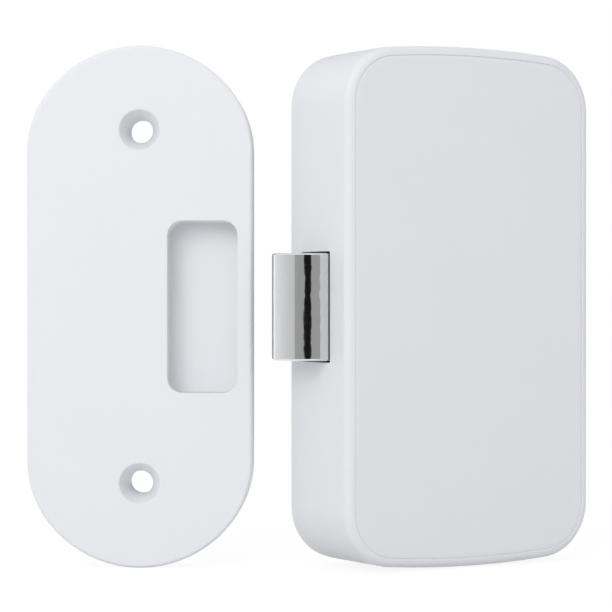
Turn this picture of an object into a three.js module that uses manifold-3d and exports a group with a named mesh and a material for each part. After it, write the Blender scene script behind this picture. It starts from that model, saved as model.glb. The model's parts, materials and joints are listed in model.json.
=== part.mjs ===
// Smart cabinet lock with its strike plate. All lengths are in millimetres.
// X runs to the right as seen from the front, Y runs back to the door, Z runs up.
// The origin is the middle of the mounting plate's back face, which lies on the door.
import * as THREE from 'three';
import { mergeVertices } from 'three/addons/utils/BufferGeometryUtils.js';
import Module from 'manifold-3d';

// Fits
const SEAT = 0.3; // gap between a piece and the piece that holds or guides it
const SLACK = 0.5; // gap between pieces that only lie side by side

// Case
const WALL = 1.5;
const FLOOR = 1.4;
const MOUNTING_PLATE = 2.0;
const MOUNTING_PLATE_INSET = 0.1;
const CORNER_RADIUS = 9.1;
const CROWN = 1.5; // how far the top and bottom edges rise in the middle
const FRONT_FILLET = 1.4;
const COVER_THICKNESS = 1.8;
const COVER_GROOVE = 0.3;
const LEDGE_WIDTH = 1.2;
const LEDGE_THICKNESS = 1.2;
const LIP_WIDTH = 0.8;
const LIP_HEIGHT = 1.0;
const PAD_THICKNESS = 0.7;
const PAD_HEIGHT = 20;

// Latch
const BOLT_HEIGHT = 17.3;
const BOLT_THICKNESS = 8.5;
const BOLT_REACH = 6.2; // how far the bolt stands out of the case
const BOLT_TRAVEL = 6.5;
const BOLT_END_SLANT = 0.7; // the end face falls back this far from the tip to its front edge
const BOLT_NOSE = 1.0; // the closing side curves back this far between the case and that edge
const BOLT_OPENING_GAP = 0.3; // above and below the bolt in the wall
const BOLT_SPRING_BORE = 2.8; // radius
const BOLT_BORE_DEPTH = 8.0;
const EAR_LENGTH = 2.0;
const EAR_HEIGHT = 1.3; // how far the bolt's ears reach into the carriage's grooves
const GUIDE = 1.1; // guide blocks inside the wall opening
const ARM_END = 1.4;
const ARM_THICKNESS = 3.05; // least thickness of the carriage's arms under the rack
const ARM_DEPTH = 3.8;
const YOKE = 1.4;
const RAIL = 0.6;
const GUIDE_RIB = 1.2;
const SPRING_RADIUS = 2.05; // of the wire's middle line
const SPRING_WIRE = 0.25; // radius of the wire
const SPRING_CURLS = 8;
const MAGNET_RADIUS = 1.1;
const MAGNET_THICKNESS = 1.2;

// Gears
const MODULE = 0.5;
const PINION_TEETH = 14;
const WHEEL_TEETH = 24;
const WHEEL_WIDTH = 3.0;
const WORM_RADIUS = 2.0; // pitch radius
const WORM_LENGTH = 9.0;
const PRESSURE_ANGLE = THREE.MathUtils.degToRad(20);
const ROOT_DEPTH = 1.2; // in modules
const PINION_BACKLASH = 0.16;
const WORM_BACKLASH = 0.3;
const AXLE_RADIUS = 1.0;
const AXLE_BOSS = 1.0; // ring of floor round the axle
const SHAFT_RADIUS = 0.5;

// Mechanism plate, posts and screws
const PLATE = 1.2;
const PLATE_LAND = 2.0; // plate left round the axle
const POST_RADIUS = 1.8;
const SCREW_SHANK = 0.75; // radius
const SCREW_HEAD = 1.7; // radius
const SCREW_HEAD_HEIGHT = 1.2;
const SCREW_GRIP = 1.8; // length of shank below what the screw holds
const SCREW_RECESS = 0.5;
const DOOR_SCREW_HOLE = 2.1; // radius
const DOOR_SCREW_SINK = 3.9; // radius of the countersink
const DOOR_SCREW_X = 13.5;
const DOOR_SCREW_Z = 29;

// Motor
const MOTOR_LENGTH = 15;
const MOTOR_HEIGHT = 12;
const MOTOR_DEPTH = 10; // across its flats
const MOTOR_CAP = 2.2;
const MOTOR_CAP_STEP = 0.4;
const MOTOR_NOSE = 2.0; // radius of the front boss
const MOTOR_NOSE_LENGTH = 0.8;
const MOTOR_GAP = 1.9; // from the worm to the motor
const SHAFT_SOCKET = 2.5;
const TERMINAL_LENGTH = 2.2;
const TERMINAL_WIDTH = 1.5;
const TERMINAL_THICKNESS = 0.5;
const TERMINAL_SPREAD = 3.4;
const BRACKET = 0.6;
const BRACKET_WIDTH = 4.5;
const BRACKET_FOOT = 4.4;
const BRACKET_PLACE = 9.6; // from the motor's front to the bracket
const BEARING_LENGTH = 2.5;
const BEARING_WALL = 2.0;

// Cells and tray
const CELL_RADIUS = 5.25;
const CELL_LENGTH = 44.5;
const CELL_NUB_RADIUS = 1.9;
const CELL_NUB = 1.0;
const CELL_GAP = 0.2;
const TRAY_WALL = 1.0;
const TRAY_SIDE = 8.6; // height of the tray's walls above its floor
const CONTACT = 0.4;
const CONTACT_WIDTH = 7.0;
const CONTACT_TAB = 2.0;
const CONTACT_SPRING = 2.9; // height of a contact spring when a cell presses it
const CONTACT_SPRING_RADIUS = 2.2;
const CONTACT_WIRE = 0.2; // radius of the wire
const CONTACT_CURLS = 2;
const STAKE_RADIUS = 1.0;
const STAKE_PLACE = 16; // from the middle of the tray

// Circuit boards
const BOARD = 1.0;
const BOARD_STANDOFF = 2.0;
const STANDOFF_RADIUS = 1.7;
const BOARD_SCREW_INSET = 2.3;
const RADIO_BOARD_HEIGHT = 8.0;
const RADIO_BOARD_WIDTH = 20;
const BUTTON_RADIUS = 1.0;
const BUTTON_TRAVEL = 0.35;
const BUTTON_STEM = 1.0; // stands out of the switch
const SWITCH_WELL = 1.2;

// Parts on the boards: middle from the main board's left edge and below its top edge, and their sizes
const PROCESSOR_CHIP = { fromLeft: 6.2, below: 7.6, width: 5.0, height: 5.0, thickness: 0.9 };
const DRIVER_CHIP = { fromLeft: 15.8, below: 8.2, width: 3.0, height: 3.0, thickness: 0.9 };
const HALL_SENSOR = { fromLeft: 6.0, below: 1.9, width: 3.0, height: 1.6, thickness: 1.1 };
const STATUS_LED = { fromLeft: 2.0, below: 12.0, width: 2.0, height: 1.2, thickness: 0.8 };
const MOTOR_CONNECTOR = { fromLeft: 9.4, below: 12.2, width: 4.4, height: 3.4, thickness: 4.0 };
const BATTERY_CONNECTOR = { fromLeft: 17.4, below: 17.2, width: 3.6, height: 4.8, thickness: 4.0 };
const LINK_SOCKET = { fromLeft: 12.2, below: 2.6, width: 3.6, height: 2.4, thickness: 2.4 };
const SWITCH = { fromLeft: 4.8, below: 15.0, width: 4.2, height: 4.2, thickness: 2.0 };
const CAPACITOR = { fromLeft: 17.0, below: 12.6, radius: 1.7, thickness: 5.6 };
const BUZZER = { fromLeft: 9.6, below: 17.6, radius: 2.4, thickness: 2.6, hole: 0.5 };
const RADIO_MODULE = { width: 7.0, height: 5.6, thickness: 1.6 };

// Leads
const LEAD_RADIUS = 0.5;
const RIBBON_WIDTH = 2.4;
const RIBBON = 0.5;

// Strike plate
const STRIKE_WIDTH = 36.9;
const STRIKE_HEIGHT = 85.4;
const STRIKE_THICKNESS = 7;
const STRIKE_END_RADIUS = 18.8;
const STRIKE_EDGE = 0.6;
const STRIKE_HOLE = 1.95; // radius
const STRIKE_SINK = 3.35; // radius of the countersink
const STRIKE_HOLE_Z = 28.9;
const POCKET_WIDTH = 11.4;
const POCKET_HEIGHT = 28.1;
const POCKET_DEPTH = 5.2;
const POCKET_RADIUS = 2.4;
const POCKET_X = 10.3; // middle of the pocket from the middle of the plate
const STRIKE_TURN = THREE.MathUtils.degToRad(-32);
const STRIKE_LEFT_OF_CASE = 22.85; // from the case's side to the middle of the strike's face
const STRIKE_BEHIND_BACK = 9.65; // from the case's back to the middle of the strike's face

// Facets
const CORNER_STEPS = 7;
const CROWN_STEPS = 6;
const FILLET_STEPS = 3;
const FLANK_STEPS = 3;
const ROUND = 20; // sides of a round piece
const SCREW_SIDES = 12;
const CURL_STEPS = 8;
const WIRE_SIDES = 5;
const LEAD_SIDES = 6;
const THREAD_STEPS = 14; // per turn of the worm

// Places along Y, from the door to the front
const floorBack = -MOUNTING_PLATE;
const floorFront = floorBack - FLOOR;
const trayFloor = floorFront - TRAY_WALL;
const cellY = trayFloor - SEAT - CELL_RADIUS;
const boltBack = floorFront - SLACK;
const boltFront = boltBack - BOLT_THICKNESS;
const boltY = (boltBack + boltFront) / 2;
const armBack = floorFront - RAIL - SEAT;
const armFront = armBack - ARM_DEPTH;
const pinionFront = armFront - SLACK;
const wheelFront = pinionFront - WHEEL_WIDTH;
const wormY = (pinionFront + wheelFront) / 2;
const plateBack = Math.min(boltFront, wheelFront) - SEAT;
const plateFront = plateBack - PLATE;
const motorFrontY = wormY - MOTOR_DEPTH / 2;
const bracketFront = motorFrontY - SEAT - BRACKET;
const coverBack = Math.min(cellY - CELL_RADIUS - SEAT - PAD_THICKNESS, bracketFront - SEAT);
const frontFace = coverBack - COVER_THICKNESS;

// Places along X, from the bolt's wall to the other side
const trayWidth = 2 * TRAY_WALL + 4 * CELL_RADIUS + 3 * CELL_GAP;
const carriageWidth = ARM_END + SEAT + EAR_LENGTH + BOLT_TRAVEL + SEAT + YOKE;
const bayWidth = GUIDE + 2 * SEAT + carriageWidth + BOLT_TRAVEL + SLACK;
const halfWidth = (2 * WALL + bayWidth + trayWidth + SLACK) / 2;
const wallInside = -halfWidth + WALL;
const guideInside = wallInside + GUIDE;
const armLeft = guideInside + 2 * SEAT;
const earLeft = armLeft + ARM_END + SEAT;
const boltInside = earLeft + EAR_LENGTH;
const yokeLeft = boltInside + BOLT_TRAVEL + SEAT;
const yokeRight = yokeLeft + YOKE;
const trayLeft = yokeRight + BOLT_TRAVEL + SLACK;
const trayRight = trayLeft + trayWidth;
const firstCellX = trayLeft + TRAY_WALL + CELL_GAP + CELL_RADIUS;
const cellX = [firstCellX, firstCellX + 2 * CELL_RADIUS + CELL_GAP];
const axleX = (armLeft + BOLT_TRAVEL + yokeRight) / 2;
const wormRight = axleX + WORM_LENGTH / 2;
const wormLeft = axleX - WORM_LENGTH / 2;
const motorLeft = wormRight + MOTOR_GAP;
const motorRight = motorLeft + MOTOR_LENGTH;
const bearingRight = wormLeft - SLACK;
const bearingLeft = bearingRight - BEARING_LENGTH;
const bracketLeft = motorLeft + BRACKET_PLACE;
const postX = wallInside + SEAT + POST_RADIUS;
const plateLeft = wallInside + SEAT;
const plateRight = motorLeft - MOTOR_NOSE_LENGTH - SLACK;
const boardRight = trayLeft - SLACK;
const magnetX = armLeft + MAGNET_RADIUS + SEAT;

// Places along Z, up from the middle of the bolt
const boltTop = BOLT_HEIGHT / 2;
const armInside = boltTop + SEAT;
const pinionRadius = (MODULE * PINION_TEETH) / 2;
const wheelRadius = (MODULE * WHEEL_TEETH) / 2;
const wheelTip = wheelRadius + MODULE;
const rackDepth = MODULE * ROOT_DEPTH;
const axleZ = Math.max(armInside + ARM_THICKNESS + rackDepth + pinionRadius, boltTop + SEAT + wheelTip);
const rackPitchZ = axleZ - pinionRadius;
const armTop = rackPitchZ - rackDepth;
const armBottom = -(armInside + ARM_THICKNESS);
const earTop = armInside + EAR_HEIGHT;
const grooveTop = earTop + SEAT;
const wormZ = axleZ + wheelRadius + WORM_RADIUS;
const motorTop = wormZ + MOTOR_HEIGHT / 2;
const motorBottom = wormZ - MOTOR_HEIGHT / 2;
const trayTop = motorBottom - SEAT - BRACKET - SLACK - SEAT;
const cellStack = CELL_LENGTH + CONTACT_SPRING + 2 * SEAT + 2 * CONTACT;
const trayBottom = trayTop - cellStack - 2 * TRAY_WALL;
const ribBottom = armBottom - SEAT - GUIDE_RIB;
const lowPostZ = ribBottom - SEAT - POST_RADIUS;
const postReach = wheelTip + POST_RADIUS + SEAT;
const highPostZ = axleZ + Math.sqrt(Math.max(0, postReach ** 2 - (axleX - postX) ** 2));
const plateTop = Math.max(axleZ + AXLE_RADIUS + PLATE_LAND, highPostZ + POST_RADIUS);
const plateBottom = lowPostZ - POST_RADIUS - SEAT;
const radioBottom = motorTop + SLACK + SEAT;
const radioTop = radioBottom + RADIO_BOARD_HEIGHT;

// Outline of the case: straight sides, round corners tangent to a crowned top and bottom
const crownRadius = (halfWidth ** 2 + CROWN ** 2) / (2 * CROWN);
const cornerX = halfWidth - CORNER_RADIUS;
const cornerRise = Math.sqrt((crownRadius - CORNER_RADIUS) ** 2 - cornerX ** 2);
const insideCorner = CORNER_RADIUS - WALL;
const cornerDrop = crownRadius - cornerRise - Math.sqrt(insideCorner ** 2 - (trayRight - cornerX) ** 2);
const halfHeight = Math.max(radioTop + SLACK + WALL + CROWN, SLACK + cornerDrop - trayBottom);
const boardTop = plateBottom - SEAT;
const boardBottom = -halfHeight + WALL + CROWN + 3 * SLACK;

const wasm = await Module();
wasm.setup();

// One closed geometry with shared corners and nothing but positions.
function tidy(geometry) {
  const bare = new THREE.BufferGeometry();
  bare.setAttribute('position', geometry.getAttribute('position').clone());
  bare.setIndex(geometry.index);
  const merged = mergeVertices(bare, 1e-4);
  const index = merged.index.array;
  const kept = [];
  for (let i = 0; i < index.length; i += 3) {
    const [a, b, c] = index.slice(i, i + 3);
    if (a !== b && b !== c && c !== a) {
      kept.push(a, b, c);
    }
  }
  merged.setIndex(kept);
  return merged;
}

function toSolid(geometry) {
  const clean = tidy(geometry);
  const vertProperties = new Float32Array(clean.getAttribute('position').array);
  const triVerts = new Uint32Array(clean.index.array);
  return new wasm.Manifold(new wasm.Mesh({ numProp: 3, vertProperties, triVerts }));
}

function toGeometry(solid) {
  const mesh = solid.getMesh();
  const geometry = new THREE.BufferGeometry();
  geometry.setAttribute('position', new THREE.BufferAttribute(new Float32Array(mesh.vertProperties), 3));
  geometry.setIndex([...mesh.triVerts]);
  return geometry;
}

function join(...geometries) {
  return toGeometry(geometries.map(toSolid).reduce((whole, next) => whole.add(next)));
}

function cut(geometry, ...tools) {
  return toGeometry(tools.map(toSolid).reduce((whole, next) => whole.subtract(next), toSolid(geometry)));
}

function common(first, second) {
  return toGeometry(toSolid(first).intersect(toSolid(second)));
}

// A box between two corners.
function block(x0, x1, y0, y1, z0, z1) {
  const box = new THREE.BoxGeometry(Math.abs(x1 - x0), Math.abs(y1 - y0), Math.abs(z1 - z0));
  return box.translate((x0 + x1) / 2, (y0 + y1) / 2, (z0 + z1) / 2);
}

// Round bars along each axis.
function rodX(radius, x0, x1, y, z, sides = ROUND) {
  const bar = new THREE.CylinderGeometry(radius, radius, Math.abs(x1 - x0), sides);
  return bar.rotateZ(Math.PI / 2).translate((x0 + x1) / 2, y, z);
}

function rodY(radius, y0, y1, x, z, sides = ROUND) {
  const bar = new THREE.CylinderGeometry(radius, radius, Math.abs(y1 - y0), sides);
  return bar.translate(x, (y0 + y1) / 2, z);
}

// A hole along Y that widens from its back to its front.
function coneY(backRadius, frontRadius, yBack, yFront, x, z, sides = ROUND) {
  const cone = new THREE.CylinderGeometry(backRadius, frontRadius, yBack - yFront, sides);
  return cone.translate(x, (yBack + yFront) / 2, z);
}

// Directions round the ring of points that seal one end of a loft.
function capTriangles(ring) {
  const normal = new THREE.Vector3();
  ring.forEach((point, i) => normal.add(point.clone().cross(ring[(i + 1) % ring.length])));
  const across = ring[1].clone().sub(ring[0]).normalize();
  const up = normal.normalize().clone().cross(across);
  const flat = ring.map((point) => new THREE.Vector2(point.dot(across), point.dot(up)));
  const along = Math.sign(THREE.ShapeUtils.area(flat));
  return THREE.ShapeUtils.triangulateShape(flat, []).map(([a, b, c]) => {
    const turn = Math.sign(THREE.ShapeUtils.area([flat[a], flat[b], flat[c]]));
    return turn === along ? [a, b, c] : [a, c, b];
  });
}

// A closed skin over rings of points that all have the same count.
function loft(rings) {
  const count = rings[0].length;
  const last = (rings.length - 1) * count;
  const index = [];
  for (let k = 0; k + 1 < rings.length; k += 1) {
    for (let i = 0; i < count; i += 1) {
      const here = k * count + i;
      const next = k * count + ((i + 1) % count);
      index.push(here, next, next + count, here, next + count, here + count);
    }
  }
  capTriangles(rings[0]).forEach(([a, b, c]) => index.push(a, c, b));
  capTriangles(rings.at(-1)).forEach(([a, b, c]) => index.push(last + a, last + b, last + c));
  const geometry = new THREE.BufferGeometry().setFromPoints(rings.flat());
  geometry.setIndex(index);
  return facingOut(geometry);
}

// The same geometry with its faces turned outwards.
function facingOut(geometry) {
  const points = geometry.getAttribute('position');
  const index = [...geometry.index.array];
  const corner = (k) => new THREE.Vector3().fromBufferAttribute(points, index[k]);
  let volume = 0;
  for (let i = 0; i < index.length; i += 3) {
    volume += corner(i).dot(corner(i + 1).cross(corner(i + 2)));
  }
  geometry.setIndex(volume < 0 ? index.reverse() : index);
  return geometry;
}

// A ring of flat points (x, z) at one place along Y.
function ringAt(points, y) {
  return points.map(([x, z]) => new THREE.Vector3(x, y, z));
}

// A flat shape in X and Z with a thickness along Y.
function slab(points, yBack, yFront) {
  return loft([ringAt(points, yBack), ringAt(points, yFront)]);
}

// A flat shape in X and Y with a height along Z.
function column(points, z0, z1) {
  return loft([z0, z1].map((z) => points.map(([x, y]) => new THREE.Vector3(x, y, z))));
}

function arc(x, z, radius, from, to, steps) {
  const points = [];
  for (let i = 0; i <= steps; i += 1) {
    const angle = from + ((to - from) * i) / steps;
    points.push([x + radius * Math.cos(angle), z + radius * Math.sin(angle)]);
  }
  return points;
}

// The case's outline, drawn in by an inset.
function caseOutline(inset) {
  const radius = CORNER_RADIUS - inset;
  const crownZ = halfHeight - crownRadius;
  const cornerZ = crownZ + cornerRise;
  const tangent = Math.atan2(cornerRise, cornerX);
  const top = [
    ...arc(cornerX, cornerZ, radius, 0, tangent, CORNER_STEPS),
    ...arc(0, crownZ, crownRadius - inset, tangent, Math.PI - tangent, CROWN_STEPS).slice(1, -1),
    ...arc(-cornerX, cornerZ, radius, Math.PI - tangent, Math.PI, CORNER_STEPS),
  ];
  return [...top, ...top.map(([x, z]) => [-x, -z])];
}

const fourCorners = [[1, 1], [-1, 1], [-1, -1], [1, -1]];

// A rounded rectangle about a middle point.
function roundedRectangle(x, z, width, height, radius) {
  const dx = width / 2 - radius;
  const dz = height / 2 - radius;
  const quarter = Math.PI / 2;
  return fourCorners.flatMap(([sx, sz], k) => (
    arc(x + sx * dx, z + sz * dz, radius, k * quarter, (k + 1) * quarter, CORNER_STEPS)));
}

// A round section swept along a curve.
function sweep(curve, radius, sides, steps) {
  const section = new THREE.Shape(arc(0, 0, radius, 0, 2 * Math.PI, sides)
    .slice(0, -1).map(([x, y]) => new THREE.Vector2(x, y)));
  const tube = new THREE.ExtrudeGeometry(section, { steps, extrudePath: curve, bevelEnabled: false });
  return facingOut(tidy(tube));
}

// Middle line of a coil that climbs along Z, with a straight run at both ends.
function coilCurve(radius, wire, curls, length) {
  const straight = 2 * wire;
  const climb = length - 2 * straight;
  const points = [new THREE.Vector3(radius, 0, 0)];
  for (let i = 0; i <= curls * CURL_STEPS; i += 1) {
    const angle = (2 * Math.PI * i) / CURL_STEPS;
    const height = straight + (climb * i) / (curls * CURL_STEPS);
    points.push(new THREE.Vector3(radius * Math.cos(angle), radius * Math.sin(angle), height));
  }
  const end = points.at(-1);
  points.push(new THREE.Vector3(end.x, end.y, length));
  return new THREE.CatmullRomCurve3(points, false, 'centripetal');
}

// Least gap of a coil to itself, measured between points at least half a curl apart.
function leastGap(curve, wire, curls) {
  const spots = curve.getSpacedPoints(curls * CURL_STEPS * 4);
  const apart = CURL_STEPS * 2;
  let least = Infinity;
  for (let i = 0; i < spots.length; i += 1) {
    for (let j = i + apart; j < spots.length; j += 1) {
      least = Math.min(least, spots[i].distanceTo(spots[j]) - 2 * wire);
    }
  }
  return least;
}

function coil(name, radius, wire, curls, length) {
  const curve = coilCurve(radius, wire, curls, length);
  console.log(`${name}: least gap to itself ${leastGap(curve, wire, curls).toFixed(2)} mm`);
  return sweep(curve, wire, WIRE_SIDES, Math.round(curls * CURL_STEPS) + 2);
}

// A turned piece along Y: the profile lists radius and place along Y from back to front.
function turned(profile, x, z) {
  const closed = [[0, profile[0][1]], ...profile, [0, profile.at(-1)[1]]];
  const lathe = new THREE.LatheGeometry(closed.map(([r, y]) => new THREE.Vector2(r, y)), SCREW_SIDES);
  return facingOut(tidy(lathe)).translate(x, 0, z);
}

// A pan head screw along Y: its head sits on a face and its shank runs to the back.
function screw(x, z, faceY, shankLength) {
  const top = faceY - SCREW_HEAD_HEIGHT;
  const edge = SCREW_HEAD_HEIGHT / 3;
  const body = turned([
    [SCREW_SHANK, faceY + shankLength],
    [SCREW_SHANK, faceY],
    [SCREW_HEAD, faceY],
    [SCREW_HEAD, top + edge],
    [SCREW_HEAD - edge, top],
  ], x, z);
  const half = SCREW_HEAD / 2;
  const slot = SCREW_SHANK / 4;
  return cut(
    body,
    block(x - half, x + half, top + SCREW_RECESS, top - SLACK, z - slot, z + slot),
    block(x - slot, x + slot, top + SCREW_RECESS, top - SLACK, z - half, z + half),
  );
}

function screwHole(x, z, yBack, yFront) {
  return rodY(SCREW_SHANK + SEAT, yBack, yFront, x, z, SCREW_SIDES);
}

// Involute gear outline about the origin, with the middle of a tooth at the start angle.
function gearOutline(teeth, thinning, start) {
  const pitch = (MODULE * teeth) / 2;
  const base = pitch * Math.cos(PRESSURE_ANGLE);
  const root = pitch - MODULE * ROOT_DEPTH;
  const low = Math.max(root, base);
  const involute = (radius) => {
    const angle = Math.acos(Math.min(1, base / radius));
    return Math.tan(angle) - angle;
  };
  const atPitch = Math.PI / (2 * teeth) - thinning / (2 * pitch);
  const radii = [root];
  for (let i = root < base ? 0 : 1; i <= FLANK_STEPS; i += 1) {
    radii.push(low + ((pitch + MODULE - low) * i) / FLANK_STEPS);
  }
  const least = thinning / (8 * pitch);
  const half = (radius) => Math.max(atPitch + involute(pitch) - involute(Math.max(radius, base)), least);
  const points = [];
  for (let k = 0; k < teeth; k += 1) {
    const middle = start + (2 * Math.PI * k) / teeth;
    radii.forEach((radius) => points.push([radius, middle - half(radius)]));
    [...radii].reverse().forEach((radius) => points.push([radius, middle + half(radius)]));
  }
  return points.map(([radius, angle]) => [radius * Math.cos(angle), radius * Math.sin(angle)]);
}

function turnedBy(points, angle) {
  const [c, s] = [Math.cos(angle), Math.sin(angle)];
  return points.map(([x, z]) => [x * c - z * s, x * s + z * c]);
}

function movedBy(points, dx, dz) {
  return points.map(([x, z]) => [x + dx, z + dz]);
}

// Finishes
function finish(color, roughness, metalness = 0) {
  return new THREE.MeshStandardMaterial({ color, roughness, metalness });
}
const whitePlastic = finish(0xdfe0e4, 0.45);
const strikePlastic = finish(0xe6e8ec, 0.42);
const greyPlastic = finish(0x8b8f95, 0.55);
const darkPlastic = finish(0x222427, 0.5);
const acetal = finish(0xe9e5d8, 0.4);
const chrome = finish(0xc8cacd, 0.12, 1);
const steel = finish(0xb4b7ba, 0.3, 1);
const zincSteel = finish(0xa7abb0, 0.38, 1);
const brass = finish(0xc9a75a, 0.3, 1);
const boardGreen = finish(0x1c5a38, 0.5);
const blackResin = finish(0x18191b, 0.45);
const cellJacket = finish(0x3a4a58, 0.35);
const foam = finish(0x44474a, 0.9);
const redLead = finish(0xa8231f, 0.5);
const blackLead = finish(0x1b1b1c, 0.5);
const ribbonGrey = finish(0xb9bcc0, 0.5);
const nickel = finish(0xbdb9ae, 0.25, 1);
const ledLens = finish(0xf3efe2, 0.2);

const lock = new THREE.Group();

function add(name, geometry, material) {
  const mesh = new THREE.Mesh(geometry, material);
  mesh.name = name;
  lock.add(mesh);
}

// Mounting plate and the screws that hold the housing to it
const fixingPlaces = [
  [motorRight + MOTOR_CAP + SCREW_HEAD + SLACK, radioBottom + SCREW_HEAD + SLACK],
  [cellX[0] + CELL_RADIUS, trayBottom - SCREW_HEAD - SLACK],
];
const doorScrewPlaces = fourCorners.map(([sx, sz]) => [sx * DOOR_SCREW_X, sz * DOOR_SCREW_Z]);

function mountingPlate() {
  const plate = slab(caseOutline(MOUNTING_PLATE_INSET), 0, floorBack);
  const sinkDepth = DOOR_SCREW_SINK - DOOR_SCREW_HOLE;
  const past = sinkDepth / MOUNTING_PLATE;
  const holes = doorScrewPlaces.flatMap(([x, z]) => [
    rodY(DOOR_SCREW_HOLE, SLACK, floorBack - SLACK, x, z),
    coneY(DOOR_SCREW_HOLE - past * SLACK, DOOR_SCREW_SINK + past * SLACK, SLACK, floorBack - SLACK, x, z),
  ]);
  return cut(plate, ...holes, ...fixingPlaces.map(([x, z]) => screwHole(x, z, SLACK, floorBack - SLACK)));
}
add('mounting_plate', mountingPlate(), whitePlastic);
fixingPlaces.forEach(([x, z], k) => {
  add(`fixing_screw_${k + 1}`, screw(x, z, floorFront, FLOOR + MOUNTING_PLATE - SEAT), zincSteel);
});

// Housing: a tub with a filleted front edge, and all that stands on its floor
const platePosts = [[postX, highPostZ], [postX, lowPostZ], [plateRight - POST_RADIUS, lowPostZ]];
const boardLeft = wallInside + SEAT;
const standoffTop = floorFront - BOARD_STANDOFF;
const boardFace = standoffTop - BOARD;
const boardScrews = [boardLeft + BOARD_SCREW_INSET, boardRight - BOARD_SCREW_INSET]
  .map((x) => [x, boardTop - BOARD_SCREW_INSET]);
const radioRight = bracketLeft - SLACK;
const radioLeft = radioRight - RADIO_BOARD_WIDTH;
const radioScrews = [radioLeft + BOARD_SCREW_INSET, radioRight - BOARD_SCREW_INSET]
  .map((x) => [x, (radioBottom + radioTop) / 2]);
const bracketScrewPlace = [bracketLeft + BRACKET_WIDTH / 2, motorTop + SEAT + BRACKET + BRACKET_FOOT / 2];
const trayMiddleZ = (trayTop + trayBottom) / 2;
const trayMiddleX = (trayLeft + trayRight) / 2;
const stakes = [-1, 1].map((side) => [trayMiddleX, trayMiddleZ + side * STAKE_PLACE]);

function housing() {
  const fillet = Math.min(FRONT_FILLET, WALL - COVER_GROOVE / 3);
  const rings = [ringAt(caseOutline(0), floorBack)];
  for (let i = 0; i <= FILLET_STEPS; i += 1) {
    const angle = (Math.PI / 2) * (i / FILLET_STEPS);
    const inset = fillet * (1 - Math.cos(angle));
    rings.push(ringAt(caseOutline(inset), frontFace + fillet * (1 - Math.sin(angle))));
  }
  const cavity = caseOutline(WALL);
  const tub = cut(loft(rings), slab(cavity, floorFront, frontFace - SLACK));
  const ledge = cut(
    slab(caseOutline(WALL / 2), coverBack + LEDGE_THICKNESS, coverBack),
    slab(caseOutline(WALL + LEDGE_WIDTH), coverBack + LEDGE_THICKNESS + SLACK, coverBack - SLACK),
  );
  const foot = floorFront + FLOOR / 2; // what stands on the floor starts inside it
  const open = boltTop + BOLT_OPENING_GAP;
  const guides = [1, -1].map((side) => (
    block(-halfWidth + WALL / 2, guideInside, foot, boltFront, side * open, side * (open + GUIDE_RIB))));
  const railEnd = yokeRight + BOLT_TRAVEL;
  const rails = [[armInside, armTop], [armBottom, -armInside]].map(([z0, z1]) => (
    block(armLeft, railEnd, foot, floorFront - RAIL, z0 + SEAT, z1 - SEAT)));
  const rib = block(armLeft, railEnd, foot, armFront, ribBottom, armBottom - SEAT);
  const boss = rodY(AXLE_RADIUS + SEAT + AXLE_BOSS, foot, armBack + SEAT, axleX, axleZ);
  const cradleFront = wormY + MOTOR_DEPTH / 2 + SEAT;
  const cradleHalf = MOTOR_DEPTH / 3;
  const cradles = [motorLeft + MOTOR_NOSE, motorRight - MOTOR_NOSE].map((x) => (
    block(x - WALL / 2, x + WALL / 2, foot, cradleFront, wormZ - cradleHalf, wormZ + cradleHalf)));
  const posts = platePosts.map(([x, z]) => rodY(POST_RADIUS, foot, plateBack, x, z));
  const boardPlaces = [...boardScrews, ...radioScrews];
  const standoffs = boardPlaces.map(([x, z]) => rodY(STANDOFF_RADIUS, foot, standoffTop, x, z));
  const pins = stakes.map(([x, z]) => rodY(STAKE_RADIUS, foot, trayFloor, x, z));
  const solid = join(tub, ledge, ...guides, ...rails, rib, boss, ...cradles, ...posts, ...standoffs, ...pins);
  const openingEnd = guideInside - GUIDE / 2;
  const opening = block(-halfWidth - SLACK, openingEnd, boltBack + SEAT, boltFront - SEAT, -open, open);
  const holes = [
    ...fixingPlaces.map(([x, z]) => screwHole(x, z, floorBack + SLACK, floorFront - SLACK)),
    screwHole(...bracketScrewPlace, floorBack + SLACK, floorFront - SLACK),
    ...platePosts.map(([x, z]) => screwHole(x, z, plateBack + SCREW_GRIP + SEAT, plateBack - SLACK)),
    ...boardPlaces.map(([x, z]) => screwHole(x, z, standoffTop + SCREW_GRIP + SEAT, plateBack)),
    rodY(AXLE_RADIUS + SEAT, floorFront, armBack, axleX, axleZ),
  ];
  return cut(solid, opening, ...holes);
}
add('housing', housing(), whitePlastic);

// Front cover with its locating lip, and the foam pad that steadies the cells
function frontCover() {
  const edge = WALL + COVER_GROOVE;
  const soft = COVER_GROOVE;
  const plate = loft([
    ringAt(caseOutline(edge), coverBack),
    ringAt(caseOutline(edge), frontFace + soft),
    ringAt(caseOutline(edge + soft), frontFace),
  ]);
  const lipOutside = WALL + LEDGE_WIDTH + SEAT;
  const lip = cut(
    slab(caseOutline(lipOutside), coverBack + LIP_HEIGHT, coverBack - COVER_THICKNESS / 2),
    slab(caseOutline(lipOutside + LIP_WIDTH), coverBack + LIP_HEIGHT + SLACK, coverBack),
  );
  return join(plate, lip);
}
add('front_cover', frontCover(), whitePlastic);
add('battery_pad', block(
  cellX[0] - CELL_RADIUS / 2,
  cellX[1] + CELL_RADIUS / 2,
  coverBack + PAD_THICKNESS,
  coverBack,
  trayMiddleZ - PAD_HEIGHT / 2,
  trayMiddleZ + PAD_HEIGHT / 2,
), foam);

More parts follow.
